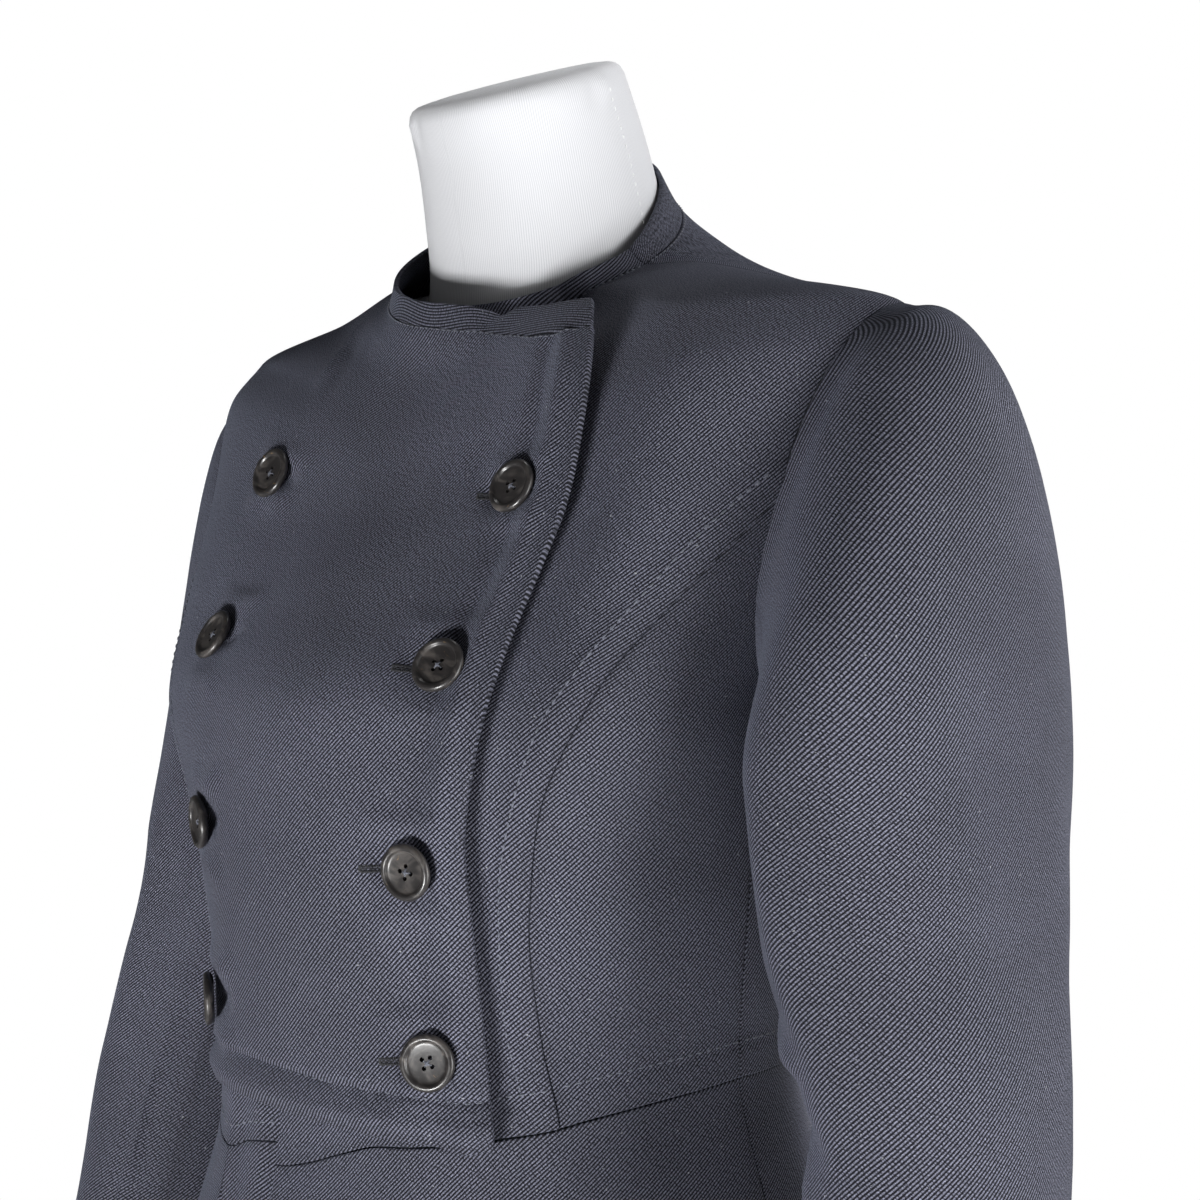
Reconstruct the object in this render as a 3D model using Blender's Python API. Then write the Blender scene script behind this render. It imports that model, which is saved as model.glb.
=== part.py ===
"""Collarless double-breasted coat on a limbless dress form, at real size in metres, +Z up.

The front faces -Y and the wearer's left is +X. The coat is a set of cloth walls, one for each
piece that is cut and sewn. Every wall lies on one worn form, which a table of level sections
describes: a point of it has a turn (degrees round the body, 0 at centre front, 90 at the wearer's
left side, 180 at centre back) and a level (0 at the hem, 1 at the neckline). Seams are curves of
turn and level, and a panel is the patch between its seams.
"""

import bmesh
import bpy
import numpy as np
from mathutils import Matrix, Vector

MM = 0.001

CLOTH_WALL = 2.0 * MM
SEAM_CLEARANCE = 0.22 * MM
SEAT_CLEARANCE = 0.3 * MM
BUTTON_CLEARANCE = 0.7 * MM
SLEEVE_CLEARANCE = 0.5 * MM
SLEEVE_SEAM_CLEARANCE = 0.3 * MM

# Worn form of the coat: one row for each level section, sizes in metres, fullness as a factor.
SECTION_COLUMNS = (
    "level", "z_side", "z_front", "z_back", "slant", "skew", "y_centre", "half_width",
    "depth_front", "depth_back", "full_30", "full_60", "full_120", "full_150", "full_right",
)
SECTIONS = np.array([
    (0.00, 0.500, 0.500, 0.500, 0.0, 0.0000, -0.020, 0.262, 0.238, 0.235, 1.00, 1.00, 1.00, 1.00, 0.000),
    (0.10, 0.800, 0.800, 0.800, 0.0, 0.0000, -0.021, 0.202, 0.185, 0.182, 0.99, 0.97, 1.00, 1.00, 0.000),
    (0.17, 0.952, 0.940, 0.955, 0.5, 0.0000, -0.024, 0.157, 0.142, 0.135, 1.00, 0.97, 1.03, 1.02, 0.000),
    (0.22, 1.043, 1.021, 1.049, 0.8, 0.0000, -0.025, 0.129, 0.119, 0.108, 1.06, 0.97, 1.03, 1.03, 0.000),
    (0.28, 1.080, 1.065, 1.085, 0.8, 0.0000, -0.026, 0.132, 0.122, 0.111, 1.02, 0.95, 1.02, 1.02, 0.012),
    (0.36, 1.135, 1.130, 1.140, 0.5, 0.0000, -0.025, 0.137, 0.134, 0.119, 0.98, 0.98, 1.01, 1.02, 0.026),
    (0.44, 1.195, 1.195, 1.205, 0.0, 0.0000, -0.020, 0.143, 0.139, 0.126, 1.00, 1.09, 1.03, 1.03, 0.023),
    (0.50, 1.240, 1.240, 1.250, 0.0, 0.0000, -0.012, 0.152, 0.123, 0.127, 0.99, 1.10, 1.05, 1.03, 0.018),
    (0.58, 1.295, 1.280, 1.300, 0.0, 0.0000, -0.003, 0.172, 0.105, 0.118, 0.99, 1.07, 1.02, 1.02, 0.000),
    (0.66, 1.3385, 1.306, 1.345, 0.0, -0.0015, 0.001, 0.185, 0.095, 0.108, 1.00, 1.02, 1.02, 1.01, 0.000),
    (0.72, 1.3575, 1.322, 1.367, 0.0, -0.0025, 0.002, 0.178, 0.086, 0.101, 1.00, 0.96, 1.02, 1.00, 0.000),
    (0.80, 1.3745, 1.337, 1.390, 0.2, -0.0010, 0.000, 0.120, 0.076, 0.091, 1.00, 0.93, 1.03, 1.00, 0.000),
    (0.87, 1.3850, 1.348, 1.412, 0.5, 0.0020, -0.004, 0.087, 0.070, 0.080, 1.00, 0.94, 1.03, 1.00, 0.000),
    (0.94, 1.390, 1.356, 1.432, 0.9, 0.0060, -0.010, 0.066, 0.064, 0.068, 1.00, 0.97, 1.02, 1.00, 0.000),
    (1.00, 1.398, 1.367, 1.448, 1.0, 0.0070, -0.013, 0.0595, 0.0595, 0.062, 1.00, 1.00, 1.00, 1.00, 0.000),
])
FULLNESS_ANGLES = np.radians((0, 30, 60, 90, 120, 150, 180))
# The right front is a little fuller, round this turn.
RIGHT_FULLNESS_TURN = 52.0
RIGHT_FULLNESS_REACH = 50.0
FULLNESS_TO_COSINES = np.linalg.inv(np.cos(np.outer(FULLNESS_ANGLES, np.arange(7))))

# Seams, as level and turn.
BAND_SEAM_LEVEL = 0.94
SHOULDER_TURN = 90.0
PRINCESS_FRONT = np.array([
    (0.222, 52.3), (0.280, 49.2), (0.335, 46.9), (0.383, 47.4), (0.446, 53.2), (0.504, 64.8),
    (0.556, 76.2),
])
PRINCESS_BACK = np.array([
    (0.222, 133.0), (0.280, 136.5), (0.335, 138.5), (0.383, 136.5), (0.446, 129.0), (0.504, 118.0),
    (0.556, 106.5),
])
# The waist seam dips towards centre front, as turn and level; the inner right front has its own.
WAIST_SEAM = np.array([
    (-180.0, 0.2220), (-11.1, 0.2086), (-2.7, 0.2112), (6.8, 0.2159), (18.0, 0.2200),
    (45.0, 0.2205), (60.0, 0.2220), (180.0, 0.2220),
])
UNDER_WAIST_SEAM = np.array([
    (-52.3, 0.2220), (-43.3, 0.2150), (-27.0, 0.2080), (-21.0, 0.2120), (-13.6, 0.2140),
    (0.0, 0.2150), (12.0, 0.2165),
])
HEM_LEVEL = 0.0
ARMHOLE_MIDDLE_LEVEL = 0.585
ARMHOLE_HALF_RISE = 0.133
ARMHOLE_NOTCH = 102.6
UNDER_FRONT_TOP = 0.36

# Front edges, as level and turn.
LEFT_FRONT_EDGE = np.array([(0.0, -5.3), (0.2086, -11.1), (0.60, -13.0), (0.94, -18.0)])
BIB_EDGE = np.array([
    (0.2185, 40.7), (0.27, 39.5), (0.34, 37.0), (0.375, 35.9), (0.42, 37.4), (0.47, 40.4),
    (0.52, 44.4), (0.56, 47.2), (0.64, 49.8), (0.712, 52.2), (0.755, 53.7),
])
# How far the bib stands off at its free edge, and how far round the body the lift reaches.
BIB_LIFT = np.array([
    (0.2185, 1.5 * MM, 10.0), (0.32, 2.5 * MM, 11.0), (0.40, 5.0 * MM, 13.0), (0.50, 2.5 * MM, 12.0),
    (0.58, 3.5 * MM, 16.0), (0.70, 8.0 * MM, 26.0), (0.80, 11.0 * MM, 32.0),
])
# The bib's band seam, top edge and hem, as turn and level.
BIB_BAND_SEAM = np.array([
    (-90.0, 0.940), (-3.0, 0.942), (8.4, 0.932), (17.9, 0.909), (30.8, 0.816), (41.1, 0.742),
    (48.9, 0.717), (52.2, 0.712),
])
BIB_TOP = np.array([
    (-90.0, 1.000), (-5.0, 1.000), (12.7, 0.994), (27.8, 0.965), (38.0, 0.870), (46.0, 0.790),
    (53.7, 0.755),
])
BIB_HEM = np.array([
    (-52.3, 0.2220), (-37.0, 0.2300), (-20.0, 0.2310), (0.0, 0.2284), (26.0, 0.2236),
    (38.0, 0.2180), (40.9, 0.2185),
])

# Depth of the under layers behind the worn form.
LEFT_FRONT_INSET = 5.5 * MM
RIGHT_UNDER_INSET = 3.0 * MM
STRIP_INSET = 5.5 * MM
DEEP_INSET = 10.0 * MM
UNDER_EASE = 12.0
SKIRT_SEAM_TURN = -27.0
UNDER_FRONT_END = 12.0
UNDER_FRONT_START = -43.3

# Left sleeve: centre of each cross section, its half sizes side to side and front to back.
SLEEVE_COLUMNS = ("x", "y", "z", "half_side", "half_front")
SLEEVE_SECTIONS = np.array([
    (0.1975, -0.003, 1.163, 0.0510, 0.0820),
    (0.2030, -0.009, 1.110, 0.0495, 0.0725),
    (0.2170, -0.018, 1.055, 0.0443, 0.0580),
    (0.2270, -0.028, 0.995, 0.0418, 0.0530),
    (0.2367, -0.038, 0.930, 0.0400, 0.0505),
    (0.2445, -0.050, 0.865, 0.0388, 0.0490),
    (0.2530, -0.067, 0.785, 0.0372, 0.0478),
])
# The right sleeve hangs nearer to the body and, above the elbow, further back and slimmer.
RIGHT_SLEEVE_SHIFT = np.array([
    # height, sideways, backwards, slimmer from side to side and from front to back
    (0.78, -0.0125, 0.000, 0.0000, 0.0000),
    (0.93, -0.0150, 0.000, 0.0000, 0.0000),
    (1.055, -0.0140, 0.008, 0.0000, 0.0000),
    (1.17, -0.0085, 0.021, 0.0050, 0.0070),
])
# How far the cap swells on its way down: outwards, sideways in front and behind, and forwards.
SLEEVE_SWELL = {1: (0.172, 0.036, 0.038), -1: (0.140, 0.012, -0.036)}
SLEEVE_CAP_ROWS = 7
SLEEVE_FRONT_SEAM = 6 + 2
SLEEVE_BACK_SEAM = 20 - 6 - 2

# Panel divisions. Panels that meet at a seam take the same points along it.
SHOULDER_STEPS = 6
ARM_UPPER_STEPS = 6
ARM_LOWER_STEPS = 4
PRINCESS_STEPS = 10
FRONT_STEPS = 10
SIDE_STEPS = 4
BACK_STEPS = 6
BIB_STEPS = 16
SKIRT_STEPS = 7
UNDER_STEPS = 6
UNDER_SIDE_STEPS = 2
BAND_STEPS = 12

# Buttons, as turn and level of each centre on the bib; columns as seen on the wearer.
BUTTON_RADIUS = 12.0 * MM
BUTTON_SIDES = 20
BUTTON_PROFILE = (
    (9.2 * MM, 0.0 * MM), (11.6 * MM, 1.0 * MM), (12.0 * MM, 2.6 * MM), (11.2 * MM, 4.0 * MM),
    (9.6 * MM, 3.8 * MM), (8.6 * MM, 2.8 * MM),
)
BUTTON_HOLE_RADIUS = 0.9 * MM
BUTTON_HOLE_OFFSET = 1.7 * MM
BUTTON_HOLE_SIDES = 8
BUTTONS = (
    # name, distance from centre front, height
    ("button_left_1", 0.0755, 1.2835),
    ("button_left_2", 0.0690, 1.2128),
    ("button_left_3", 0.0600, 1.1344),
    ("button_left_4", 0.0625, 1.0592),
    ("button_right_1", -0.0755, 1.2945),
    ("button_right_2", -0.0705, 1.2231),
    ("button_right_3", -0.0650, 1.1457),
    ("button_right_4", -0.0650, 1.0700),
)

# Dress form: a limbless torso that ends in a neck, on a pole and a round base.
FORM_LEVELS = (0.11, 0.135, 0.16, 0.19, 0.22, 0.25, 0.29, 0.34, 0.39, 0.44, 0.49, 0.54, 0.59, 0.64,
               0.68, 0.71, 0.74, 0.77, 0.80, 0.83, 0.86)
FORM_INSETS = np.array([
    # level, at the front, at the shoulder line, at the back
    (0.10, 0.040, 0.050, 0.040),
    (0.16, 0.018, 0.022, 0.014),
    (0.22, 0.0145, 0.010, 0.008),
    (0.36, 0.0145, 0.012, 0.008),
    (0.50, 0.0145, 0.022, 0.010),
    (0.62, 0.0145, 0.018, 0.009),
    (0.71, 0.0145, 0.009, 0.008),
    (0.77, 0.0145, 0.0032, 0.007),
    (0.83, 0.0140, 0.0032, 0.006),
    (0.86, 0.0140, 0.0040, 0.008),
])
FORM_SIDES = 44
NECK_RINGS = np.array([
    # z of the centre, y of the centre, radius, rise per metre towards the back
    (1.386, 0.0015, 0.0550, 0.52),
    (1.400, 0.0000, 0.0527, 0.45),
    (1.424, -0.0056, 0.0510, 0.38),
    (1.443, -0.0116, 0.0494, 0.36),
    (1.460, -0.0186, 0.0480, 0.37),
    (1.466, -0.0211, 0.0468, 0.38),
    (1.469, -0.0221, 0.0440, 0.38),
])
FORM_BOTTOM_RADIUS = 0.060
POLE_RADIUS = 0.0125
POLE_SIDES = 24
POLE_Y = -0.020
BASE_RADIUS = 0.170
BASE_EDGE = 0.010
BASE_RISE = 0.024
BASE_TOP_RADIUS = 0.038
BASE_SIDES = 48
SOCKET_RADIUS = 0.024
SOCKET_TOP = 0.060
SOCKET_CHAMFER = 0.003
SOCKET_SIDES = 32

CLOTH_COLOUR = (0.022, 0.023, 0.027, 1.0)
HORN_COLOUR = (0.045, 0.036, 0.030, 1.0)
JERSEY_COLOUR = (0.78, 0.79, 0.80, 1.0)
STAND_COLOUR = (0.62, 0.62, 0.63, 1.0)


# --- reading the tables -------------------------------------------------------------------------

def hermite(start, start_slope, end, end_slope, part):
    """Cubic between two values with given slopes, at a part from 0 to 1."""
    square, cube = part**2, part**3
    return (
        (2 * cube - 3 * square + 1) * start
        + (cube - 2 * square + part) * start_slope
        + (3 * square - 2 * cube) * end
        + (cube - square) * end_slope
    )


def read_table(rows, at):
    """The columns after the first, read at values of the first by a monotone cubic."""
    knots, values = rows[:, 0], rows[:, 1:]
    step = np.diff(knots)[:, None]
    rise = np.diff(values, axis=0) / step
    slope = np.zeros_like(values)
    slope[0], slope[-1] = rise[0], rise[-1]
    same_way = rise[:-1] * rise[1:] > 0
    before = np.where(same_way, rise[:-1], 1.0)
    after = np.where(same_way, rise[1:], 1.0)
    weight_before, weight_after = 2 * step[1:] + step[:-1], step[1:] + 2 * step[:-1]
    mean = (weight_before + weight_after) / (weight_before / before + weight_after / after)
    slope[1:-1] = np.where(same_way, mean, 0.0)
    at = np.clip(np.asarray(at, float), knots[0], knots[-1])
    row = np.clip(np.searchsorted(knots, at, side="right") - 1, 0, len(knots) - 2)
    part = ((at - knots[row]) / (knots[row + 1] - knots[row]))[..., None]
    return hermite(values[row], slope[row] * step[row], values[row + 1], slope[row + 1] * step[row], part)


def read_value(rows, at):
    """A table of two columns, read at values of the first."""
    return read_table(rows, at)[..., 0]


def ease(part):
    """Smooth step from 0 to 1."""
    part = np.clip(part, 0.0, 1.0)
    return part * part * (3 - 2 * part)


# --- the worn form ------------------------------------------------------------------------------

def coat_surface(turn, level):
    """Points of the worn form at turns (degrees) and levels."""
    turn, level = np.broadcast_arrays(np.asarray(turn, float), np.asarray(level, float))
    columns = np.moveaxis(read_table(SECTIONS, level), -1, 0)
    z_side, z_front, z_back, slant, skew, y_centre, half_width, front, back = columns[:9]
    angle = np.radians(turn)
    cosine, sine = np.cos(angle), np.sin(angle)
    one = np.ones_like(level)
    fullness = np.stack([one, columns[9], columns[10], one, columns[11], columns[12], one], -1)
    waves = fullness @ FULLNESS_TO_COSINES.T
    swell = sum(waves[..., k] * np.cos(k * angle) for k in range(7))
    beside = np.clip((turn + RIGHT_FULLNESS_TURN) / RIGHT_FULLNESS_REACH, -1.0, 1.0)
    swell = swell + columns[13] * np.cos(0.5 * np.pi * beside) ** 2
    depth = np.where(cosine >= 0, front, back)
    radius = swell / np.sqrt((sine / half_width) ** 2 + (cosine / depth) ** 2)
    towards_end = slant * np.abs(cosine) + (1 - slant) * cosine**2
    z_end = np.where(cosine >= 0, z_front, z_back)
    height = z_side + (z_end - z_side) * towards_end - skew * sine
    return np.stack([radius * sine, y_centre - radius * cosine, height], -1)


def unit(vectors):
    """Vectors at length 1."""
    return vectors / np.linalg.norm(vectors, axis=-1, keepdims=True)


def coat_normal(turn, level):
    """Outward normals of the worn form."""
    turn, level = np.broadcast_arrays(np.asarray(turn, float), np.asarray(level, float))
    level = np.clip(level, 0.002, 0.998)
    round_body = coat_surface(turn + 1.0, level) - coat_surface(turn - 1.0, level)
    upward = coat_surface(turn, level + 0.002) - coat_surface(turn, level - 0.002)
    return unit(np.cross(round_body, upward))


def coat_point(turn, level, inset):
    """Points behind the worn form by an inset in metres; a negative inset stands proud of it."""
    inset = np.asarray(inset, float)
    return coat_surface(turn, level) - coat_normal(turn, level) * inset[..., None]


# --- how deep each layer lies -------------------------------------------------------------------

def flush(turn, level):
    """A piece with nothing over it lies on the worn form."""
    return np.zeros(np.broadcast(turn, level).shape)


def bib_inset(turn, level):
    """The bib lies on the worn form and lifts towards its free edge."""
    lift, reach = np.moveaxis(read_table(BIB_LIFT, level), -1, 0)
    edge = read_value(BIB_EDGE, level)
    return -lift * ease((turn - edge + reach) / reach)


def left_front_inset(turn, level):
    """The left front lies behind the bib and comes forward past the bib's edge and below it."""
    edge = read_value(BIB_EDGE, level)
    beside = 1 - ease((turn - edge - 1.0) / UNDER_EASE)
    below = ease((level - 0.13) / 0.08)
    return LEFT_FRONT_INSET * beside * below


def right_under_inset(turn, level):
    """The inner right front: just behind the bib, then a strip, then deep behind the left front."""
    edge = read_value(LEFT_FRONT_EDGE, level)
    strip = ease((turn - SKIRT_SEAM_TURN) / 5.0)
    deep = ease((turn - edge + 7.0) / 6.0)
    inset = RIGHT_UNDER_INSET + (STRIP_INSET - RIGHT_UNDER_INSET) * strip + (DEEP_INSET - STRIP_INSET) * deep
    return inset * (0.45 + 0.55 * ease((level - 0.02) / 0.18))


def skirt_right_inset(turn, level):
    """The right skirt front: on the worn form, and behind the bib's hem near the waist."""
    under_bib = ease((turn + 52.3) / 9.0)
    below = ease((level - 0.17) / 0.035)
    return RIGHT_UNDER_INSET * under_bib * below


# --- seams as (turn, level) polylines -------------------------------------------------------------

def even_points(curve, steps):
    """Points of a (turn, level) curve, evenly spaced on the worn form. curve takes 0 to 1."""
    fine = curve(np.linspace(0.0, 1.0, 201))
    along = np.linalg.norm(np.diff(coat_surface(fine[:, 0], fine[:, 1]), axis=0), axis=1)
    run = np.concatenate([[0.0], np.cumsum(along)])
    wanted = np.linspace(0.0, run[-1], steps + 1)
    return np.stack([np.interp(wanted, run, fine[:, 0]), np.interp(wanted, run, fine[:, 1])], -1)


def by_level(table, low, high, steps):
    """A seam given as turn against level, from one level to another."""
    def curve(part):
        level = low + (high - low) * part
        return np.stack([read_value(table, level), level], -1)
    return even_points(curve, steps)


def by_turn(table, start, end, steps):
    """A seam given as level against turn, from one turn to another."""
    def curve(part):
        turn = start + (end - start) * part
        return np.stack([turn, read_value(table, turn)], -1)
    return even_points(curve, steps)


def straight(start, end, steps):
    """A seam that is straight in turn and level."""
    start, end = np.array(start, float), np.array(end, float)
    return even_points(lambda part: start + (end - start) * part[:, None], steps)


def armhole_at(angle):
    """The left armhole at angles in degrees: 0 at the shoulder, 90 in front, 180 underarm."""
    radians = np.radians(angle)
    lean = 9.0 * ((1 + np.cos(radians)) / 2) ** 2
    width = 15.5 - 1.5 * np.sin(radians)
    turn = 88.5 + lean - width * np.sin(radians)
    return np.stack([turn, ARMHOLE_MIDDLE_LEVEL + ARMHOLE_HALF_RISE * np.cos(radians)], -1)


def armhole(start, end, steps):
    """A stretch of the left armhole."""
    return even_points(lambda part: armhole_at(start + (end - start) * part), steps)


def joined(*stretches):
    """Several stretches as one polyline, without the repeated corner points."""
    return np.concatenate([stretches[0]] + [stretch[1:] for stretch in stretches[1:]])


def other_side(points):
    """The same seam on the other side of the body."""
    return points * np.array([-1.0, 1.0])


def waist_seam(start, end, steps):
    """A stretch of the waist seam."""
    return by_turn(WAIST_SEAM, start, end, steps)


def under_waist_seam(start, end, steps):
    """A stretch of the waist seam of the inner right front."""
    return by_turn(UNDER_WAIST_SEAM, start, end, steps)


# --- from patches to closed walls -----------------------------------------------------------------

def patch(bottom, top, left, right):
    """A grid of (turn, level) between four seams, rows from bottom to top, columns left to right."""
    across = np.linspace(0.0, 1.0, len(bottom))[None, :, None]
    up = np.linspace(0.0, 1.0, len(left))[:, None, None]
    rows = (1 - up) * bottom[None] + up * top[None]
    columns = (1 - across) * left[:, None] + across * right[:, None]
    corners = (
        (1 - up) * (1 - across) * bottom[0] + (1 - up) * across * bottom[-1]
        + up * (1 - across) * top[0] + up * across * top[-1]
    )
    return rows + columns - corners


def drawn_in(grid, clearance):
    """The grid with its border moved inwards, so that neighbours stay apart at their seam."""
    result = grid.copy()
    for axis in (0, 1):
        lines = np.moveaxis(result, axis, 0)
        source = np.moveaxis(grid, axis, 0)
        lines[0] += unit(source[1] - source[0]) * clearance
        lines[-1] += unit(source[-2] - source[-1]) * clearance
    return result


def wall_mesh(name, outer, inner):
    """A closed wall between two grids of points, outer and inner, with a rim round its border."""
    rows, columns = outer.shape[:2]
    points = np.concatenate([outer.reshape(-1, 3), inner.reshape(-1, 3)])
    index = np.arange(rows * columns).reshape(rows, columns)
    back = index + rows * columns
    faces = []
    for i in range(rows - 1):
        for j in range(columns - 1):
            faces.append((index[i, j], index[i, j + 1], index[i + 1, j + 1], index[i + 1, j]))
            faces.append((back[i, j], back[i + 1, j], back[i + 1, j + 1], back[i, j + 1]))
    border = np.concatenate([index[0, :-1], index[:-1, -1], index[-1, :0:-1], index[:0:-1, 0]])
    for here, there in zip(border, np.roll(border, -1)):
        faces.append((there, here, here + rows * columns, there + rows * columns))
    return mesh_from(name, points, faces)


def mesh_from(name, points, faces):
    """A mesh with all faces pointing outwards."""
    mesh = bpy.data.meshes.new(name)
    mesh.from_pydata([tuple(point) for point in points], [], [tuple(map(int, face)) for face in faces])
    shape = bmesh.new()
    shape.from_mesh(mesh)
    bmesh.ops.recalc_face_normals(shape, faces=shape.faces)
    if shape.calc_volume(signed=True) < 0:
        bmesh.ops.reverse_faces(shape, faces=shape.faces)
    shape.to_mesh(mesh)
    shape.free()
    return mesh


def panel_mesh(name, grid, inset_of):
    """The wall of one panel, from its (turn, level) grid and its layer."""
    turn, level = grid[..., 0], grid[..., 1]
    inset = inset_of(turn, level)
    outer = drawn_in(coat_point(turn, level, inset), SEAM_CLEARANCE)
    inner = drawn_in(coat_point(turn, level, inset + CLOTH_WALL), SEAM_CLEARANCE)
    return wall_mesh(name, outer, inner)


# --- bodice -----------------------------------------------------------------------------------------

def front_side_line():
    """From the neck along the shoulder seam, the armhole and the princess seam to the waist."""
    armhole_top = armhole_at(0.0)
    princess_top = PRINCESS_FRONT[-1, 0]
    return joined(
        straight((SHOULDER_TURN, BAND_SEAM_LEVEL), armhole_top, SHOULDER_STEPS),
        armhole(0.0, ARMHOLE_NOTCH, ARM_UPPER_STEPS),
        by_level(PRINCESS_FRONT, princess_top, PRINCESS_FRONT[0, 0], PRINCESS_STEPS),
    )


def back_side_line():
    """The same line on the back panel."""
    armhole_top = armhole_at(0.0)
    princess_top = PRINCESS_BACK[-1, 0]
    return joined(
        straight((SHOULDER_TURN, BAND_SEAM_LEVEL), armhole_top, SHOULDER_STEPS),
        armhole(360.0, 360.0 - ARMHOLE_NOTCH, ARM_UPPER_STEPS),
        by_level(PRINCESS_BACK, princess_top, PRINCESS_BACK[0, 0], PRINCESS_STEPS),
    )


def side_seam(steps):
    """From the underarm down to the waist."""
    underarm = armhole_at(180.0)
    waist = (SHOULDER_TURN, WAIST_SEAM[-1, 1])
    return straight(underarm, waist, steps)


def band_seam(start, end, steps):
    """The plain stretch of the neckband seam."""
    return straight((start, BAND_SEAM_LEVEL), (end, BAND_SEAM_LEVEL), steps)


def front_left_grid():
    side = front_side_line()[::-1]
    edge = by_level(LEFT_FRONT_EDGE, LEFT_FRONT_EDGE[1, 0], BAND_SEAM_LEVEL, len(side) - 1)
    bottom = waist_seam(edge[0, 0], side[0, 0], FRONT_STEPS)
    top = band_seam(edge[-1, 0], SHOULDER_TURN, FRONT_STEPS)
    return patch(bottom, top, edge, side)


def side_front_grid():
    princess = front_side_line()[SHOULDER_STEPS + ARM_UPPER_STEPS:][::-1]
    seam = side_seam(PRINCESS_STEPS)[::-1]
    bottom = waist_seam(princess[0, 0], SHOULDER_TURN, SIDE_STEPS)
    top = armhole(ARMHOLE_NOTCH, 180.0, SIDE_STEPS)
    return patch(bottom, top, princess, seam)


def side_back_grid():
    princess = back_side_line()[SHOULDER_STEPS + ARM_UPPER_STEPS:][::-1]
    seam = side_seam(PRINCESS_STEPS)[::-1]
    bottom = waist_seam(SHOULDER_TURN, princess[0, 0], SIDE_STEPS)
    top = armhole(180.0, 360.0 - ARMHOLE_NOTCH, SIDE_STEPS)
    return patch(bottom, top, seam, princess)


def back_grid():
    side = back_side_line()[::-1]
    centre = straight((180.0, side[0, 1]), (180.0, BAND_SEAM_LEVEL), len(side) - 1)
    bottom = waist_seam(side[0, 0], 180.0, BACK_STEPS)
    top = band_seam(SHOULDER_TURN, 180.0, BACK_STEPS)
    return patch(bottom, top, side, centre)


def bib_grid():
    side = other_side(front_side_line())[::-1]
    edge = by_level(BIB_EDGE, BIB_EDGE[0, 0], BIB_BAND_SEAM[-1, 1], len(side) - 1)
    bottom = by_turn(BIB_HEM, side[0, 0], edge[0, 0], BIB_STEPS)
    top = by_turn(BIB_BAND_SEAM, side[-1, 0], edge[-1, 0], BIB_STEPS)
    return patch(bottom, top, side, edge)


def right_waist_line():
    """The waist seam of the inner right front, from its side edge to its free edge."""
    return joined(
        under_waist_seam(UNDER_FRONT_START, SKIRT_SEAM_TURN, UNDER_SIDE_STEPS),
        under_waist_seam(SKIRT_SEAM_TURN, UNDER_FRONT_END, UNDER_STEPS),
    )


def front_right_under_grid():
    bottom = right_waist_line()
    start, end = bottom[0, 0], bottom[-1, 0]
    top = straight((start + 6.0, UNDER_FRONT_TOP), (end, UNDER_FRONT_TOP), len(bottom) - 1)
    left = straight(bottom[0], top[0], UNDER_STEPS)
    right = straight(bottom[-1], top[-1], UNDER_STEPS)
    return patch(bottom, top, left, right)


def neckband_grid(top, bottom):
    """A band of cloth between the neckline and its seam."""
    ends = [np.linspace(bottom[k], top[k], 3) for k in (0, -1)]
    return patch(bottom, top, ends[0], ends[1])


def neckband_right_grid():
    bottom = by_turn(BIB_BAND_SEAM, -SHOULDER_TURN, BIB_BAND_SEAM[-1, 0], BIB_STEPS)
    top = by_turn(BIB_TOP, -SHOULDER_TURN, BIB_TOP[-1, 0], BIB_STEPS)
    return neckband_grid(top, bottom)


def neckband_left_grid():
    start = LEFT_FRONT_EDGE[-1, 1]
    bottom = band_seam(start, SHOULDER_TURN, FRONT_STEPS)
    top = straight((start, 1.0), (SHOULDER_TURN, 1.0), FRONT_STEPS)
    return neckband_grid(top, bottom)


def neckband_back_grid():
    bottom = joined(band_seam(90.0, 180.0, BACK_STEPS), band_seam(180.0, 270.0, BACK_STEPS))
    top = bottom + np.array([0.0, 1.0 - BAND_SEAM_LEVEL])
    return neckband_grid(top, bottom)


# --- skirt ------------------------------------------------------------------------------------------

def skirt_grid(waist, hem_start, hem_end, left=None, right=None):
    """A skirt panel below a stretch of the waist seam."""
    hem = straight((hem_start, HEM_LEVEL), (hem_end, HEM_LEVEL), len(waist) - 1)
    if left is None:
        left = straight(hem[0], waist[0], SKIRT_STEPS)
    if right is None:
        right = straight(hem[-1], waist[-1], SKIRT_STEPS)
    return patch(hem, waist, left, right)


def skirt_front_left_grid():
    waist = joined(front_left_grid()[0], side_front_grid()[0])
    edge = by_level(LEFT_FRONT_EDGE, HEM_LEVEL, waist[0, 1], SKIRT_STEPS)
    edge[-1] = waist[0]
    return skirt_grid(waist, edge[0, 0], SHOULDER_TURN, left=edge)


def skirt_front_under_grid():
    waist = right_waist_line()[UNDER_SIDE_STEPS:]
    return skirt_grid(waist, -14.0, 8.0)


def skirt_front_right_grid():
    side_front = other_side(side_front_grid()[0])[::-1]
    gap = np.stack([side_front[-1], right_waist_line()[0]])
    waist = joined(side_front, gap, right_waist_line()[:UNDER_SIDE_STEPS + 1])
    return skirt_grid(waist, -SHOULDER_TURN, -14.0)


def skirt_back_grid():
    waist = joined(side_back_grid()[0], back_grid()[0])
    return skirt_grid(waist, SHOULDER_TURN, 180.0)


# --- sleeves ----------------------------------------------------------------------------------------

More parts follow.
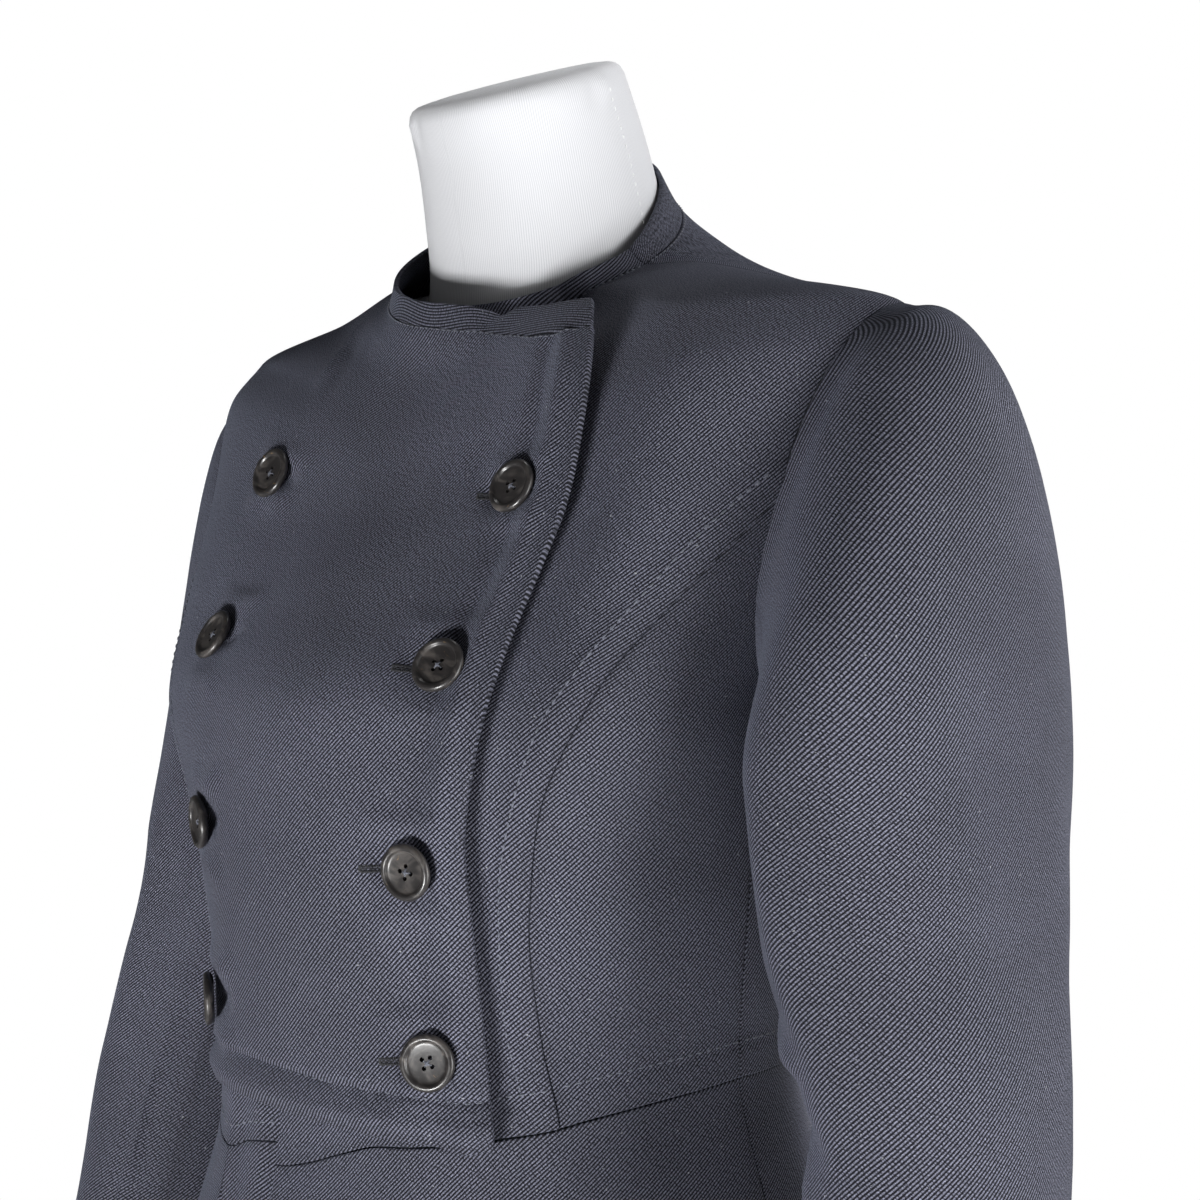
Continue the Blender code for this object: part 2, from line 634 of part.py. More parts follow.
def sleeve_loop():
    """The left armhole as a closed loop of points, from the shoulder by the front."""
    loop = joined(
        armhole(0.0, ARMHOLE_NOTCH, ARM_UPPER_STEPS),
        armhole(ARMHOLE_NOTCH, 180.0, ARM_LOWER_STEPS),
        armhole(180.0, 360.0 - ARMHOLE_NOTCH, ARM_LOWER_STEPS),
        armhole(360.0 - ARMHOLE_NOTCH, 360.0, ARM_UPPER_STEPS),
    )
    return loop[:-1]


def sleeve_angles(count):
    """The angle round the sleeve of each loop point: 0 outside, 90 in front, 180 inside."""
    upper, lower = ARM_UPPER_STEPS, ARM_LOWER_STEPS
    stops = (0, upper, upper + lower, upper + 2 * lower, count)
    return np.interp(np.arange(count), stops, (0.0, 100.0, 180.0, 260.0, 360.0))


def sleeve_frames(sections):
    """The outward and forward directions and the run of the axis at each cross section."""
    centres = sections[:, :3]
    run = unit(np.gradient(centres, axis=0))
    forward = np.array([0.0, -1.0, 0.0]) + run * run[:, 1:2]
    forward = unit(forward)
    return np.cross(forward, run), forward, run


def sleeve_sections(side):
    """The cross sections of one sleeve. A side is 1 for the left and -1 for the right."""
    sections = SLEEVE_SECTIONS.copy()
    if side < 0:
        shift = read_table(RIGHT_SLEEVE_SHIFT, sections[:, 2])
        sections[:, :2] += shift[:, :2]
        sections[:, 3:] -= shift[:, 2:]
    return sections


def sleeve_rings(side, shrink):
    """Rings of one sleeve from armhole to cuff, as on the left, drawn in by a shrink in metres."""
    loop = sleeve_loop()
    angle = np.radians(sleeve_angles(len(loop)))
    start = coat_point(side * loop[:, 0], loop[:, 1], -SLEEVE_CLEARANCE) * np.array([side, 1.0, 1.0])
    middle = start.mean(axis=0)
    start = start + unit(middle - start) * shrink
    sections = sleeve_sections(side)
    outward, forward, run = sleeve_frames(sections)
    tube = []
    for section, across, front in zip(sections, outward, forward):
        half_side, half_front = section[3] - shrink, section[4] - shrink
        tube.append(
            section[:3] + half_side * np.cos(angle)[:, None] * across
            + half_front * np.sin(angle)[:, None] * front
        )
    top = (1 + np.cos(angle))[:, None] / 2
    swell_out, swell_side, swell_front = SLEEVE_SWELL[side]
    flank = np.sin(angle)[:, None]
    leaving = top * np.array([swell_out, 0.0, 0.004]) + (1 - top) * np.array([0.004, 0.0, -0.040])
    leaving = leaving + np.abs(flank) * np.array([swell_side, 0.0, -0.020])
    leaving = leaving + flank * np.array([0.0, -swell_front, 0.0])
    arriving = unit(tube[1] - tube[0]) * (0.045 + 0.185 * top)
    cap = [hermite(start, leaving, tube[0], arriving, part)
           for part in np.linspace(0.0, 1.0, SLEEVE_CAP_ROWS + 1)[:-1]]
    return np.array(cap + tube)


def sleeve_mesh(name, first, last, side):
    """One piece of the two-piece sleeve, between two seams counted round the armhole."""
    outer, inner = sleeve_rings(side, 0.0), sleeve_rings(side, CLOTH_WALL)
    columns = np.arange(first, last + 1) % outer.shape[1]
    mirror = np.array([side, 1.0, 1.0])
    outer = drawn_in(outer[:, columns], SLEEVE_SEAM_CLEARANCE) * mirror
    inner = drawn_in(inner[:, columns], SLEEVE_SEAM_CLEARANCE) * mirror
    return wall_mesh(name, outer, inner)


# --- buttons ----------------------------------------------------------------------------------------

def on_bib(across, height):
    """The turn and level of the bib point at a distance from centre front and a height."""
    turn, level = 30.0 * np.sign(across), (height - 0.86) / 0.72
    for _ in range(30):
        here = coat_point(turn, level, bib_inset(turn, level))
        wide = coat_point(turn + 0.5, level, bib_inset(turn + 0.5, level))
        high = coat_point(turn, level + 0.002, bib_inset(turn, level + 0.002))
        slopes = np.array([
            [(wide[0] - here[0]) / 0.5, (high[0] - here[0]) / 0.002],
            [(wide[2] - here[2]) / 0.5, (high[2] - here[2]) / 0.002],
        ])
        step = np.linalg.solve(slopes, np.array([across - here[0], height - here[2]]))
        turn, level = turn + step[0], level + step[1]
    return turn, level


def button_mesh(name):
    """A turned button with a raised rim, without its holes, lying on z = 0."""
    angles = np.linspace(0.0, 2 * np.pi, BUTTON_SIDES, endpoint=False)
    points, faces = [], []
    for radius, height in BUTTON_PROFILE:
        points += [(radius * np.cos(a), radius * np.sin(a), height) for a in angles]
    rings = len(BUTTON_PROFILE)
    for ring in range(rings - 1):
        for k in range(BUTTON_SIDES):
            low, high = ring * BUTTON_SIDES, (ring + 1) * BUTTON_SIDES
            nearby = (k + 1) % BUTTON_SIDES
            faces.append((low + k, low + nearby, high + nearby, high + k))
    faces.append(tuple(range(BUTTON_SIDES))[::-1])
    faces.append(tuple(range((rings - 1) * BUTTON_SIDES, rings * BUTTON_SIDES)))
    return mesh_from(name, points, faces)


def hole_cutter():
    """Four pins that cut the thread holes of a button."""
    angles = np.linspace(0.0, 2 * np.pi, BUTTON_HOLE_SIDES, endpoint=False)
    low, high = -2 * MM, 8 * MM
    points, faces = [], []
    for x in (-BUTTON_HOLE_OFFSET, BUTTON_HOLE_OFFSET):
        for y in (-BUTTON_HOLE_OFFSET, BUTTON_HOLE_OFFSET):
            start = len(points)
            for height in (low, high):
                points += [(x + BUTTON_HOLE_RADIUS * np.cos(a), y + BUTTON_HOLE_RADIUS * np.sin(a), height)
                           for a in angles]
            sides = range(BUTTON_HOLE_SIDES)
            for k in sides:
                nearby = (k + 1) % BUTTON_HOLE_SIDES
                faces.append((start + k, start + nearby, start + BUTTON_HOLE_SIDES + nearby,
                              start + BUTTON_HOLE_SIDES + k))
            faces.append(tuple(start + k for k in sides)[::-1])
            faces.append(tuple(start + BUTTON_HOLE_SIDES + k for k in sides))
    cutter = add_object("button_hole_cutter", mesh_from("button_hole_cutter", points, faces), None)
    cutter.hide_render = True
    cutter.display_type = "WIRE"
    return cutter


def button_place(across, height):
    """The matrix that seats a button on the bib."""
    turn, level = on_bib(across, height)
    turns, levels = turn + np.array((-3.5, 3.5, 0.0, 0.0)), level + np.array((0.0, 0.0, -0.012, 0.012))
    west, east, low, high = coat_point(turns, levels, bib_inset(turns, levels))
    outward = Vector(np.cross(east - west, high - low)).normalized()
    seat = Vector(coat_point(turn, level, bib_inset(turn, level))) + outward * BUTTON_CLEARANCE
    rotation = outward.to_track_quat("Z", "Y").to_matrix().to_4x4()
    return Matrix.Translation(seat) @ rotation


# --- dress form -------------------------------------------------------------------------------------

def form_rings():
    """Rings of the torso from its bottom edge to the neck cap."""
    turn = np.linspace(0.0, 360.0, FORM_SIDES, endpoint=False)
    cosine = np.cos(np.radians(turn))
    rings = []
    for level in FORM_LEVELS:
        front, side, back = read_table(FORM_INSETS, level)
        end = np.where(cosine >= 0, front, back)
        inset = side + (end - side) * np.abs(cosine)
        rings.append(coat_point(turn, np.full(FORM_SIDES, level), inset))
    for z_centre, y_centre, radius, rise in NECK_RINGS:
        x, y = radius * np.sin(np.radians(turn)), -radius * cosine
        rings.append(np.stack([x, y_centre + y, z_centre + rise * y], -1))
    return rings


def form_mesh(name):
    """The torso as one closed shell with a flat round bottom."""
    rings = form_rings()
    bottom = rings[0].copy()
    centre = np.array([0.0, POLE_Y, bottom[:, 2].mean()])
    flat = centre + unit((bottom - centre) * np.array([1.0, 1.0, 0.0])) * FORM_BOTTOM_RADIUS
    flat[:, 2] = centre[2] - 0.012
    rings = [flat] + rings
    points = np.concatenate(rings)
    faces = []
    for ring in range(len(rings) - 1):
        for k in range(FORM_SIDES):
            low, high = ring * FORM_SIDES, (ring + 1) * FORM_SIDES
            nearby = (k + 1) % FORM_SIDES
            faces.append((low + k, low + nearby, high + nearby, high + k))
    faces.append(tuple(range(FORM_SIDES))[::-1])
    faces.append(tuple(range((len(rings) - 1) * FORM_SIDES, len(rings) * FORM_SIDES)))
    return mesh_from(name, points, faces), flat[0, 2]


def turned_mesh(name, profile, sides, y_centre):
    """A solid turned about a vertical axis, from (radius, z) pairs starting at its bottom."""
    angles = np.linspace(0.0, 2 * np.pi, sides, endpoint=False)
    points, faces = [], []
    for radius, z in profile:
        points += [(radius * np.cos(a), y_centre + radius * np.sin(a), z) for a in angles]
    for ring in range(len(profile) - 1):
        for k in range(sides):
            low, high = ring * sides, (ring + 1) * sides
            nearby = (k + 1) % sides
            faces.append((low + k, low + nearby, high + nearby, high + k))
    faces.append(tuple(range(sides))[::-1])
    faces.append(tuple(range((len(profile) - 1) * sides, len(profile) * sides)))
    return mesh_from(name, points, faces)


# --- objects ----------------------------------------------------------------------------------------

def material(name, colour, roughness):
    """A plain material."""
    made = bpy.data.materials.new(name)
    made.use_nodes = True
    shader = made.node_tree.nodes["Principled BSDF"]
    shader.inputs["Base Color"].default_value = colour
    shader.inputs["Roughness"].default_value = roughness
    return made


def add_object(name, mesh, finish):
    """An object for a mesh, shaded smooth, in the scene."""
    obj = bpy.data.objects.new(name, mesh)
    bpy.context.scene.collection.objects.link(obj)
    mesh.shade_smooth()
    mesh.set_sharp_from_angle(angle=np.radians(40.0))
    if finish:
        mesh.materials.append(finish)
    return obj


def clear_scene():
    """Removes every object that the scene starts with."""
    for obj in list(bpy.data.objects):
        bpy.data.objects.remove(obj, do_unlink=True)


def build_bodice(cloth):
    """The fronts, sides, back and neckband."""
    one_sided = (
        ("bib_front", bib_grid(), bib_inset),
        ("front_left", front_left_grid(), left_front_inset),
        ("front_right_under", front_right_under_grid(), right_under_inset),
        ("neckband_right", neckband_right_grid(), bib_inset),
        ("neckband_left", neckband_left_grid(), left_front_inset),
        ("neckband_back", neckband_back_grid(), flush),
    )
    for name, grid, inset_of in one_sided:
        add_object(name, panel_mesh(name, grid, inset_of), cloth)
    for name, grid in (("side_front", side_front_grid()), ("side_back", side_back_grid()),
                       ("back", back_grid())):
        for side, points in (("left", grid), ("right", other_side(grid))):
            full_name = f"{name}_{side}"
            add_object(full_name, panel_mesh(full_name, points, flush), cloth)


def build_skirt(cloth):
    """The five panels below the waist seam."""
    panels = (
        ("skirt_front_left", skirt_front_left_grid(), left_front_inset),
        ("skirt_front_under", skirt_front_under_grid(), right_under_inset),
        ("skirt_front_right", skirt_front_right_grid(), skirt_right_inset),
        ("skirt_back_left", skirt_back_grid(), flush),
        ("skirt_back_right", other_side(skirt_back_grid()), flush),
    )
    for name, grid, inset_of in panels:
        add_object(name, panel_mesh(name, grid, inset_of), cloth)


def build_sleeves(cloth):
    """Top and under sleeve on both sides."""
    count = len(sleeve_loop())
    for word, side in (("left", 1), ("right", -1)):
        top_name, under_name = f"sleeve_top_{word}", f"sleeve_under_{word}"
        top = sleeve_mesh(top_name, SLEEVE_BACK_SEAM, count + SLEEVE_FRONT_SEAM, side)
        under = sleeve_mesh(under_name, SLEEVE_FRONT_SEAM, SLEEVE_BACK_SEAM, side)
        add_object(top_name, top, cloth)
        add_object(under_name, under, cloth)


def build_buttons(horn):
    """Eight buttons, each with four thread holes."""
    cutter = hole_cutter()
    for name, across, height in BUTTONS:
        button = add_object(name, button_mesh(name), horn)
        button.matrix_world = button_place(across, height)
        holes = button.modifiers.new("holes", "BOOLEAN")
        holes.operation = "DIFFERENCE"
        holes.object = place_cutter(cutter, button, name)


def place_cutter(cutter, button, name):
    """A copy of the cutter that lies in a button."""
    copy = bpy.data.objects.new(f"{name}_cutter", cutter.data)
    bpy.context.scene.collection.objects.link(copy)
    copy.matrix_world = button.matrix_world
    copy.hide_render = True
    copy.display_type = "WIRE"
    return copy


def build_form(jersey, metal):
    """The torso, its pole, and the base with the socket that holds the pole."""
    torso, bottom = form_mesh("form_torso")
    add_object("form_torso", torso, jersey)
    base_profile = (
        (BASE_RADIUS, 0.0), (BASE_RADIUS, BASE_EDGE), (BASE_RADIUS * 0.55, BASE_RISE * 0.8),
        (BASE_TOP_RADIUS, BASE_RISE),
    )
    add_object("form_base", turned_mesh("form_base", base_profile, BASE_SIDES, POLE_Y), metal)
    socket_profile = (
        (SOCKET_RADIUS, BASE_RISE + SEAT_CLEARANCE), (SOCKET_RADIUS, SOCKET_TOP - SOCKET_CHAMFER),
        (SOCKET_RADIUS - SOCKET_CHAMFER, SOCKET_TOP),
    )
    add_object("form_socket", turned_mesh("form_socket", socket_profile, SOCKET_SIDES, POLE_Y), metal)
    pole_profile = (
        (POLE_RADIUS, SOCKET_TOP + SEAT_CLEARANCE), (POLE_RADIUS, bottom - SEAT_CLEARANCE),
    )
    add_object("form_pole", turned_mesh("form_pole", pole_profile, POLE_SIDES, POLE_Y), metal)


def main():
    clear_scene()
    cloth = material("wool_gabardine", CLOTH_COLOUR, 0.75)
    horn = material("horn", HORN_COLOUR, 0.25)
    jersey = material("white_jersey", JERSEY_COLOUR, 0.85)
    metal = material("stand_metal", STAND_COLOUR, 0.40)
    build_bodice(cloth)
    build_skirt(cloth)
    build_sleeves(cloth)
    build_buttons(horn)
    build_form(jersey, metal)


if __name__ == "__main__":
    main()
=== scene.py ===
"""Looks of a collarless double-breasted coat on a limbless dress form.

The front faces -Y and the wearer's left is +X. Every piece of the coat is a thin shell on one worn
form, which is a surface over turn (degrees round the body, 0 at centre front, 90 at the wearer's
left side) and level (0 at the hem, 1 at the neckline). Seams are lines of turn and level, and the
creases are soft ridges and troughs along such lines. Lengths are in metres.
"""

import logging
import math
from collections.abc import Callable, Sequence
from dataclasses import dataclass, replace
from enum import Enum
from functools import cached_property

import bpy
import numpy as np
from mathutils import Matrix, Vector


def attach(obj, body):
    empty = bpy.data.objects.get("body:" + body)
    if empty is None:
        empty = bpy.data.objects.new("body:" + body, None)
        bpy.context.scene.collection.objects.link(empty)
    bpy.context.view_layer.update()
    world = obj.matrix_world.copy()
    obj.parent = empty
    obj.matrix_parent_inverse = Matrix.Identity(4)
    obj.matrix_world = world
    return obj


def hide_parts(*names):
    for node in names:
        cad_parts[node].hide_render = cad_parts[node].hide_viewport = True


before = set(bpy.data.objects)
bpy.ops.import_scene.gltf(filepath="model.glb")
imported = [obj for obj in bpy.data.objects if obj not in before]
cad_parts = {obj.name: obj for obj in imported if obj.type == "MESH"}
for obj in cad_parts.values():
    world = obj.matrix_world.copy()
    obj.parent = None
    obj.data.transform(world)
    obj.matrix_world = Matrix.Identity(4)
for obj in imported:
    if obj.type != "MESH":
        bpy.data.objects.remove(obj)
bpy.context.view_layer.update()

LOG = logging.getLogger("coat")

Array = np.ndarray
Curve = Callable[[Array], Array]
Surface = Callable[[Array, Array], Array]
Layer = Callable[[Array, Array], Array]
Rows = tuple[tuple[float, ...], ...]

MM = 0.001
BODY = "root"
# How far from its edge turned cloth is thicker, and how far the nearness to a seam or free edge reaches,
# which smooths the cloth there and darkens it with painted shade.
EDGE_REACH = 9.0 * MM
PRESS_AND_SHADE_REACH = 5.0 * MM

# Worn form of the coat: one row for each level section.
# level, z_side, z_front, z_back, slant, skew, y_centre, half_width, depth_front, depth_back,
# fullness at 30, 60, 120 and 150 degrees, and extra fullness at the right front
SECTIONS = np.array([
    (0.00, 0.500, 0.500, 0.500, 0.0, 0.0000, -0.020, 0.262, 0.238, 0.235, 1.00, 1.00, 1.00, 1.00, 0.0),
    (0.10, 0.800, 0.800, 0.800, 0.0, 0.0000, -0.021, 0.202, 0.185, 0.182, 0.99, 0.97, 1.00, 1.00, 0.0),
    (0.17, 0.952, 0.940, 0.955, 0.5, 0.0000, -0.024, 0.157, 0.142, 0.135, 1.00, 0.97, 1.03, 1.02, 0.0),
    (0.22, 1.043, 1.021, 1.049, 0.8, 0.0000, -0.025, 0.129, 0.119, 0.108, 1.06, 0.97, 1.03, 1.03, 0.0),
    (0.28, 1.080, 1.065, 1.085, 0.8, 0.0000, -0.026, 0.132, 0.122, 0.111, 1.02, 0.95, 1.02, 1.02, 0.012),
    (0.36, 1.135, 1.130, 1.140, 0.5, 0.0000, -0.025, 0.137, 0.134, 0.119, 0.98, 0.98, 1.01, 1.02, 0.026),
    (0.44, 1.195, 1.195, 1.205, 0.0, 0.0000, -0.020, 0.143, 0.139, 0.126, 1.00, 1.09, 1.03, 1.03, 0.023),
    (0.50, 1.240, 1.240, 1.250, 0.0, 0.0000, -0.012, 0.152, 0.123, 0.127, 0.99, 1.10, 1.05, 1.03, 0.018),
    (0.58, 1.295, 1.280, 1.300, 0.0, 0.0000, -0.003, 0.172, 0.105, 0.118, 0.99, 1.07, 1.02, 1.02, 0.0),
    (0.66, 1.3385, 1.306, 1.345, 0.0, -0.0015, 0.001, 0.185, 0.095, 0.108, 1.00, 1.02, 1.02, 1.01, 0.0),
    (0.72, 1.3575, 1.322, 1.367, 0.0, -0.0025, 0.002, 0.178, 0.086, 0.101, 1.00, 0.96, 1.02, 1.00, 0.0),
    (0.80, 1.3745, 1.337, 1.390, 0.2, -0.0010, 0.000, 0.120, 0.076, 0.091, 1.00, 0.93, 1.03, 1.00, 0.0),
    (0.87, 1.3850, 1.348, 1.412, 0.5, 0.0020, -0.004, 0.087, 0.070, 0.080, 1.00, 0.94, 1.03, 1.00, 0.0),
    (0.94, 1.390, 1.356, 1.432, 0.9, 0.0060, -0.010, 0.066, 0.064, 0.068, 1.00, 0.97, 1.02, 1.00, 0.0),
    (1.00, 1.398, 1.367, 1.448, 1.0, 0.0070, -0.013, 0.0595, 0.0595, 0.062, 1.00, 1.00, 1.00, 1.00, 0.0),
])

# Seams and free edges that run up the body, as level and turn.
PRINCESS_FRONT = np.array([
    (0.222, 52.3), (0.280, 49.2), (0.335, 46.9), (0.383, 47.4), (0.446, 53.2), (0.504, 64.8),
    (0.556, 76.2),
])
PRINCESS_BACK = np.array([
    (0.222, 133.0), (0.280, 136.5), (0.335, 138.5), (0.383, 136.5), (0.446, 129.0), (0.504, 118.0),
    (0.556, 106.5),
])
LEFT_FRONT_EDGE = np.array([(0.0, -5.3), (0.2086, -11.1), (0.60, -13.0), (0.94, -18.0)])
BIB_EDGE = np.array([
    (0.2185, 40.7), (0.27, 39.5), (0.34, 37.0), (0.375, 35.9), (0.42, 37.4), (0.47, 40.4),
    (0.52, 44.4), (0.56, 47.2), (0.64, 49.8), (0.712, 52.2), (0.755, 53.7),
])
# How far the bib stands off at its free edge, and how many degrees the lift reaches.
BIB_LIFT = np.array([
    (0.2185, 1.8 * MM, 10.0), (0.32, 3.2 * MM, 11.0), (0.40, 5.4 * MM, 13.0), (0.50, 3.6 * MM, 12.0),
    (0.58, 4.6 * MM, 16.0), (0.70, 8.5 * MM, 26.0), (0.80, 11.5 * MM, 32.0),
])

# Seams and edges that run round the body, as turn and level.
WAIST_SEAM = np.array([
    (-180.0, 0.2220), (-11.1, 0.2086), (-2.7, 0.2112), (6.8, 0.2159), (18.0, 0.2200),
    (45.0, 0.2205), (60.0, 0.2220), (180.0, 0.2220),
])
UNDER_WAIST_SEAM = np.array([
    (-52.3, 0.2220), (-43.3, 0.2150), (-27.0, 0.2080), (-21.0, 0.2120), (-13.6, 0.2140),
    (0.0, 0.2150), (12.0, 0.2165),
])
BIB_BAND_SEAM = np.array([
    (-90.0, 0.940), (-3.0, 0.942), (8.4, 0.932), (17.9, 0.909), (30.8, 0.816), (41.1, 0.742),
    (48.9, 0.717), (52.2, 0.712),
])
BIB_TOP = np.array([
    (-90.0, 1.000), (-5.0, 1.000), (12.7, 0.994), (27.8, 0.965), (38.0, 0.870), (46.0, 0.790),
    (53.7, 0.755),
])
BIB_HEM = np.array([
    (-52.3, 0.2220), (-37.0, 0.2300), (-20.0, 0.2310), (0.0, 0.2284), (26.0, 0.2236),
    (38.0, 0.2180), (40.9, 0.2185),
])
BAND_LEVEL = 0.94
WAIST_LEVEL = 0.222
PRINCESS_TOP_LEVEL = 0.556
SIDE_TURN = 90.0
BACK_TURN = 180.0
PRINCESS_TURN = 52.3
LEFT_WAIST_TURN = -11.1
LEFT_NECK_TURN = -18.0
UNDER_END_TURN = 12.0
# Angles round the armhole, where the princess seams meet it and where the underarm is.
ARMHOLE_NOTCH = 102.6
UNDERARM = 180.0
MIRROR = np.array([-1.0, 1.0])


# --- arithmetic ---

def hermite(start: Array, start_slope: Array, end: Array, end_slope: Array, part: Array) -> Array:
    """Reads a cubic with given ends and end slopes at parts from 0 to 1.

    Args:
        start: Points where it starts.
        start_slope: Its slopes there.
        end: Points where it ends.
        end_slope: Its slopes there.
        part: How far along to read it.

    Returns:
        The points read.
    """
    square, cube = part**2, part**3
    return (
        (2 * cube - 3 * square + 1) * start
        + (cube - 2 * square + part) * start_slope
        + (3 * square - 2 * cube) * end
        + (cube - square) * end_slope
    )


def read_table(rows: Array, at: Array | float) -> Array:
    """Reads a table by a monotone cubic.

    Args:
        rows: The table; its first column is what it is read by, in rising order.
        at: Values of the first column.

    Returns:
        The other columns at those values, along the last axis.
    """
    knots, values = rows[:, 0], rows[:, 1:]
    step = np.diff(knots)[:, None]
    rise = np.diff(values, axis=0) / step
    slope = np.zeros_like(values)
    slope[0], slope[-1] = rise[0], rise[-1]
    same_way = rise[:-1] * rise[1:] > 0
    before = np.where(same_way, rise[:-1], 1.0)
    after = np.where(same_way, rise[1:], 1.0)
    weight_before, weight_after = 2 * step[1:] + step[:-1], step[1:] + 2 * step[:-1]
    mean = (weight_before + weight_after) / (weight_before / before + weight_after / after)
    slope[1:-1] = np.where(same_way, mean, 0.0)
    at = np.clip(np.asarray(at, float), knots[0], knots[-1])
    row = np.clip(np.searchsorted(knots, at, side="right") - 1, 0, len(knots) - 2)
    part = ((at - knots[row]) / (knots[row + 1] - knots[row]))[..., None]
    low, high = slope[row] * step[row], slope[row + 1] * step[row]
    return hermite(values[row], low, values[row + 1], high, part)


def read_value(rows: Array, at: Array | float) -> Array:
    """The second column of a table of two columns, at values of the first."""
    return read_table(rows, at)[..., 0]


def ease(part: Array | float) -> Array:
    """Smooth step from 0 to 1."""
    part = np.clip(part, 0.0, 1.0)
    return part * part * (3 - 2 * part)


def unit(vectors: Array) -> Array:
    """Vectors at length 1."""
    return vectors / np.maximum(np.linalg.norm(vectors, axis=-1, keepdims=True), 1e-12)


def lengths_along(points: Array, axis: int = 0) -> Array:
    """The run of polylines along an axis of an array of points, from 0 at their start."""
    steps = np.moveaxis(np.linalg.norm(np.diff(points, axis=axis), axis=-1), axis, 0)
    run = np.concatenate([np.zeros_like(steps[:1]), np.cumsum(steps, axis=0)])
    return np.moveaxis(run, 0, axis)


def smooth_line(rows: Sequence[Sequence[float]], count: int) -> Array:
    """A smooth line of count points that passes through a few rows of two numbers."""
    table = np.column_stack([np.arange(len(rows)), np.array(rows, float)])
    return read_table(table, np.linspace(0, len(rows) - 1, count))


def undulation(points: Array, wavelength: float, height: float) -> Array:
    """A faint unevenness that no cloth is without.

    Args:
        points: Where to read it.
        wavelength: Its typical wavelength in metres.
        height: Its typical height in metres.

    Returns:
        Heights at the points.
    """
    directions = np.array([
        (1.0, 0.35, 0.2), (-0.4, 1.0, 0.5), (0.25, -0.3, 1.0), (0.9, 0.8, -0.7), (-0.7, 0.5, 1.3)])
    phases = np.array([0.3, 1.9, 4.1, 2.6, 5.2])
    waves = np.sin(points @ directions.T * (2 * np.pi / wavelength) + phases)
    return height * waves.mean(axis=-1)


# --- the worn form ---

@dataclass(frozen=True)
class WornForm:
    """The form that the coat takes when worn, as a surface over turn and level.

    Attributes:
        right_turn: Degrees to the right of centre front at which the right side is fullest.
        right_reach: Degrees over which that fullness fades.
        turn_step: Degrees between the columns of the cloth table.
        level_steps: Steps of the cloth table from hem to neckline.
        probe_turn: Degrees to either side at which a normal is worked out.
        probe_level: Levels to either side at which it is.
    """

    right_turn: float = 52.0
    right_reach: float = 50.0
    turn_step: float = 2.0
    level_steps: int = 160
    probe_turn: float = 1.0
    probe_level: float = 0.002

    def surface(self, turn: Array | float, level: Array | float) -> Array:
        """Gives points of the form.

        Args:
            turn: Degrees round the body.
            level: Levels from 0 at the hem to 1 at the neckline.

        Returns:
            Points, with x, y and z along the last axis.
        """
        turn, level = np.broadcast_arrays(np.asarray(turn, float), np.asarray(level, float))
        (z_side, z_front, z_back, slant, skew, y_centre, half_width, front, back,
         full_30, full_60, full_120, full_150, right_full) = np.moveaxis(
            read_table(SECTIONS, level), -1, 0)
        angle = np.radians(turn)
        cosine, sine = np.cos(angle), np.sin(angle)
        one = np.ones_like(level)
        stops = np.radians((0, 30, 60, 90, 120, 150, 180))
        to_cosines = np.linalg.inv(np.cos(np.outer(stops, np.arange(len(stops)))))
        fullness = np.stack([one, full_30, full_60, one, full_120, full_150, one], -1)
        waves = fullness @ to_cosines.T
        swell = sum(waves[..., k] * np.cos(k * angle) for k in range(len(stops)))
        beside = np.clip((turn + self.right_turn) / self.right_reach, -1.0, 1.0)
        swell = swell + right_full * np.cos(0.5 * np.pi * beside) ** 2
        depth = np.where(cosine >= 0, front, back)
        radius = swell / np.sqrt((sine / half_width) ** 2 + (cosine / depth) ** 2)
        towards_end = slant * np.abs(cosine) + (1 - slant) * cosine**2
        z_end = np.where(cosine >= 0, z_front, z_back)
        height = z_side + (z_end - z_side) * towards_end - skew * sine
        return np.stack([radius * sine, y_centre - radius * cosine, height], -1)

    def normal(self, turn: Array | float, level: Array | float) -> Array:
        """Outward normals of the form at turns and levels.

        Args:
            turn: Degrees round the body.
            level: Levels from 0 at the hem to 1 at the neckline.

        Returns:
            A unit normal for each.
        """
        turn, level = np.broadcast_arrays(np.asarray(turn, float), np.asarray(level, float))
        side, rise = self.probe_turn, self.probe_level
        level = np.clip(level, rise, 1 - rise)
        round_body = self.surface(turn + side, level) - self.surface(turn - side, level)
        upward = self.surface(turn, level + rise) - self.surface(turn, level - rise)
        return unit(np.cross(round_body, upward))

    def point(self, turn: Array | float, level: Array | float, inset: Array | float) -> Array:
        """Points behind the form by an inset in metres; a negative inset stands proud of it."""
        inset = np.asarray(inset, float)
        return self.surface(turn, level) - self.normal(turn, level) * inset[..., None]

    @cached_property
    def _cloth_table(self) -> tuple[Array, Array, Array]:
        """Turns, and the lengths round and up the form at each turn and even level.

        Returns:
            The turns, the lengths round and the lengths up.
        """
        turns = np.arange(-190.0, 281.0, self.turn_step)
        levels = np.linspace(0.0, 1.0, self.level_steps + 1)
        points = self.surface(turns[:, None], levels[None, :])
        around = lengths_along(points)
        return turns, around - around[np.argmin(np.abs(turns))], lengths_along(points, 1)

    def cloth(self, turn: Array, level: Array) -> Array:
        """Lengths round and up the cloth in metres, which the weave follows.

        Args:
            turn: Degrees round the body.
            level: Levels from 0 at the hem to 1 at the neckline.

        Returns:
            Two lengths for each point.
        """
        turns, around, up = self._cloth_table
        row = np.clip((turn - turns[0]) / self.turn_step, 0, len(turns) - 1.001)
        column = np.clip(level * self.level_steps, 0, self.level_steps - 0.001)
        i, j = row.astype(int), column.astype(int)
        a, b = row - i, column - j
        read = [
            (1 - a) * (1 - b) * table[i, j] + a * (1 - b) * table[i + 1, j]
            + (1 - a) * b * table[i, j + 1] + a * b * table[i + 1, j + 1]
            for table in (around, up)
        ]
        return np.stack(read, -1)


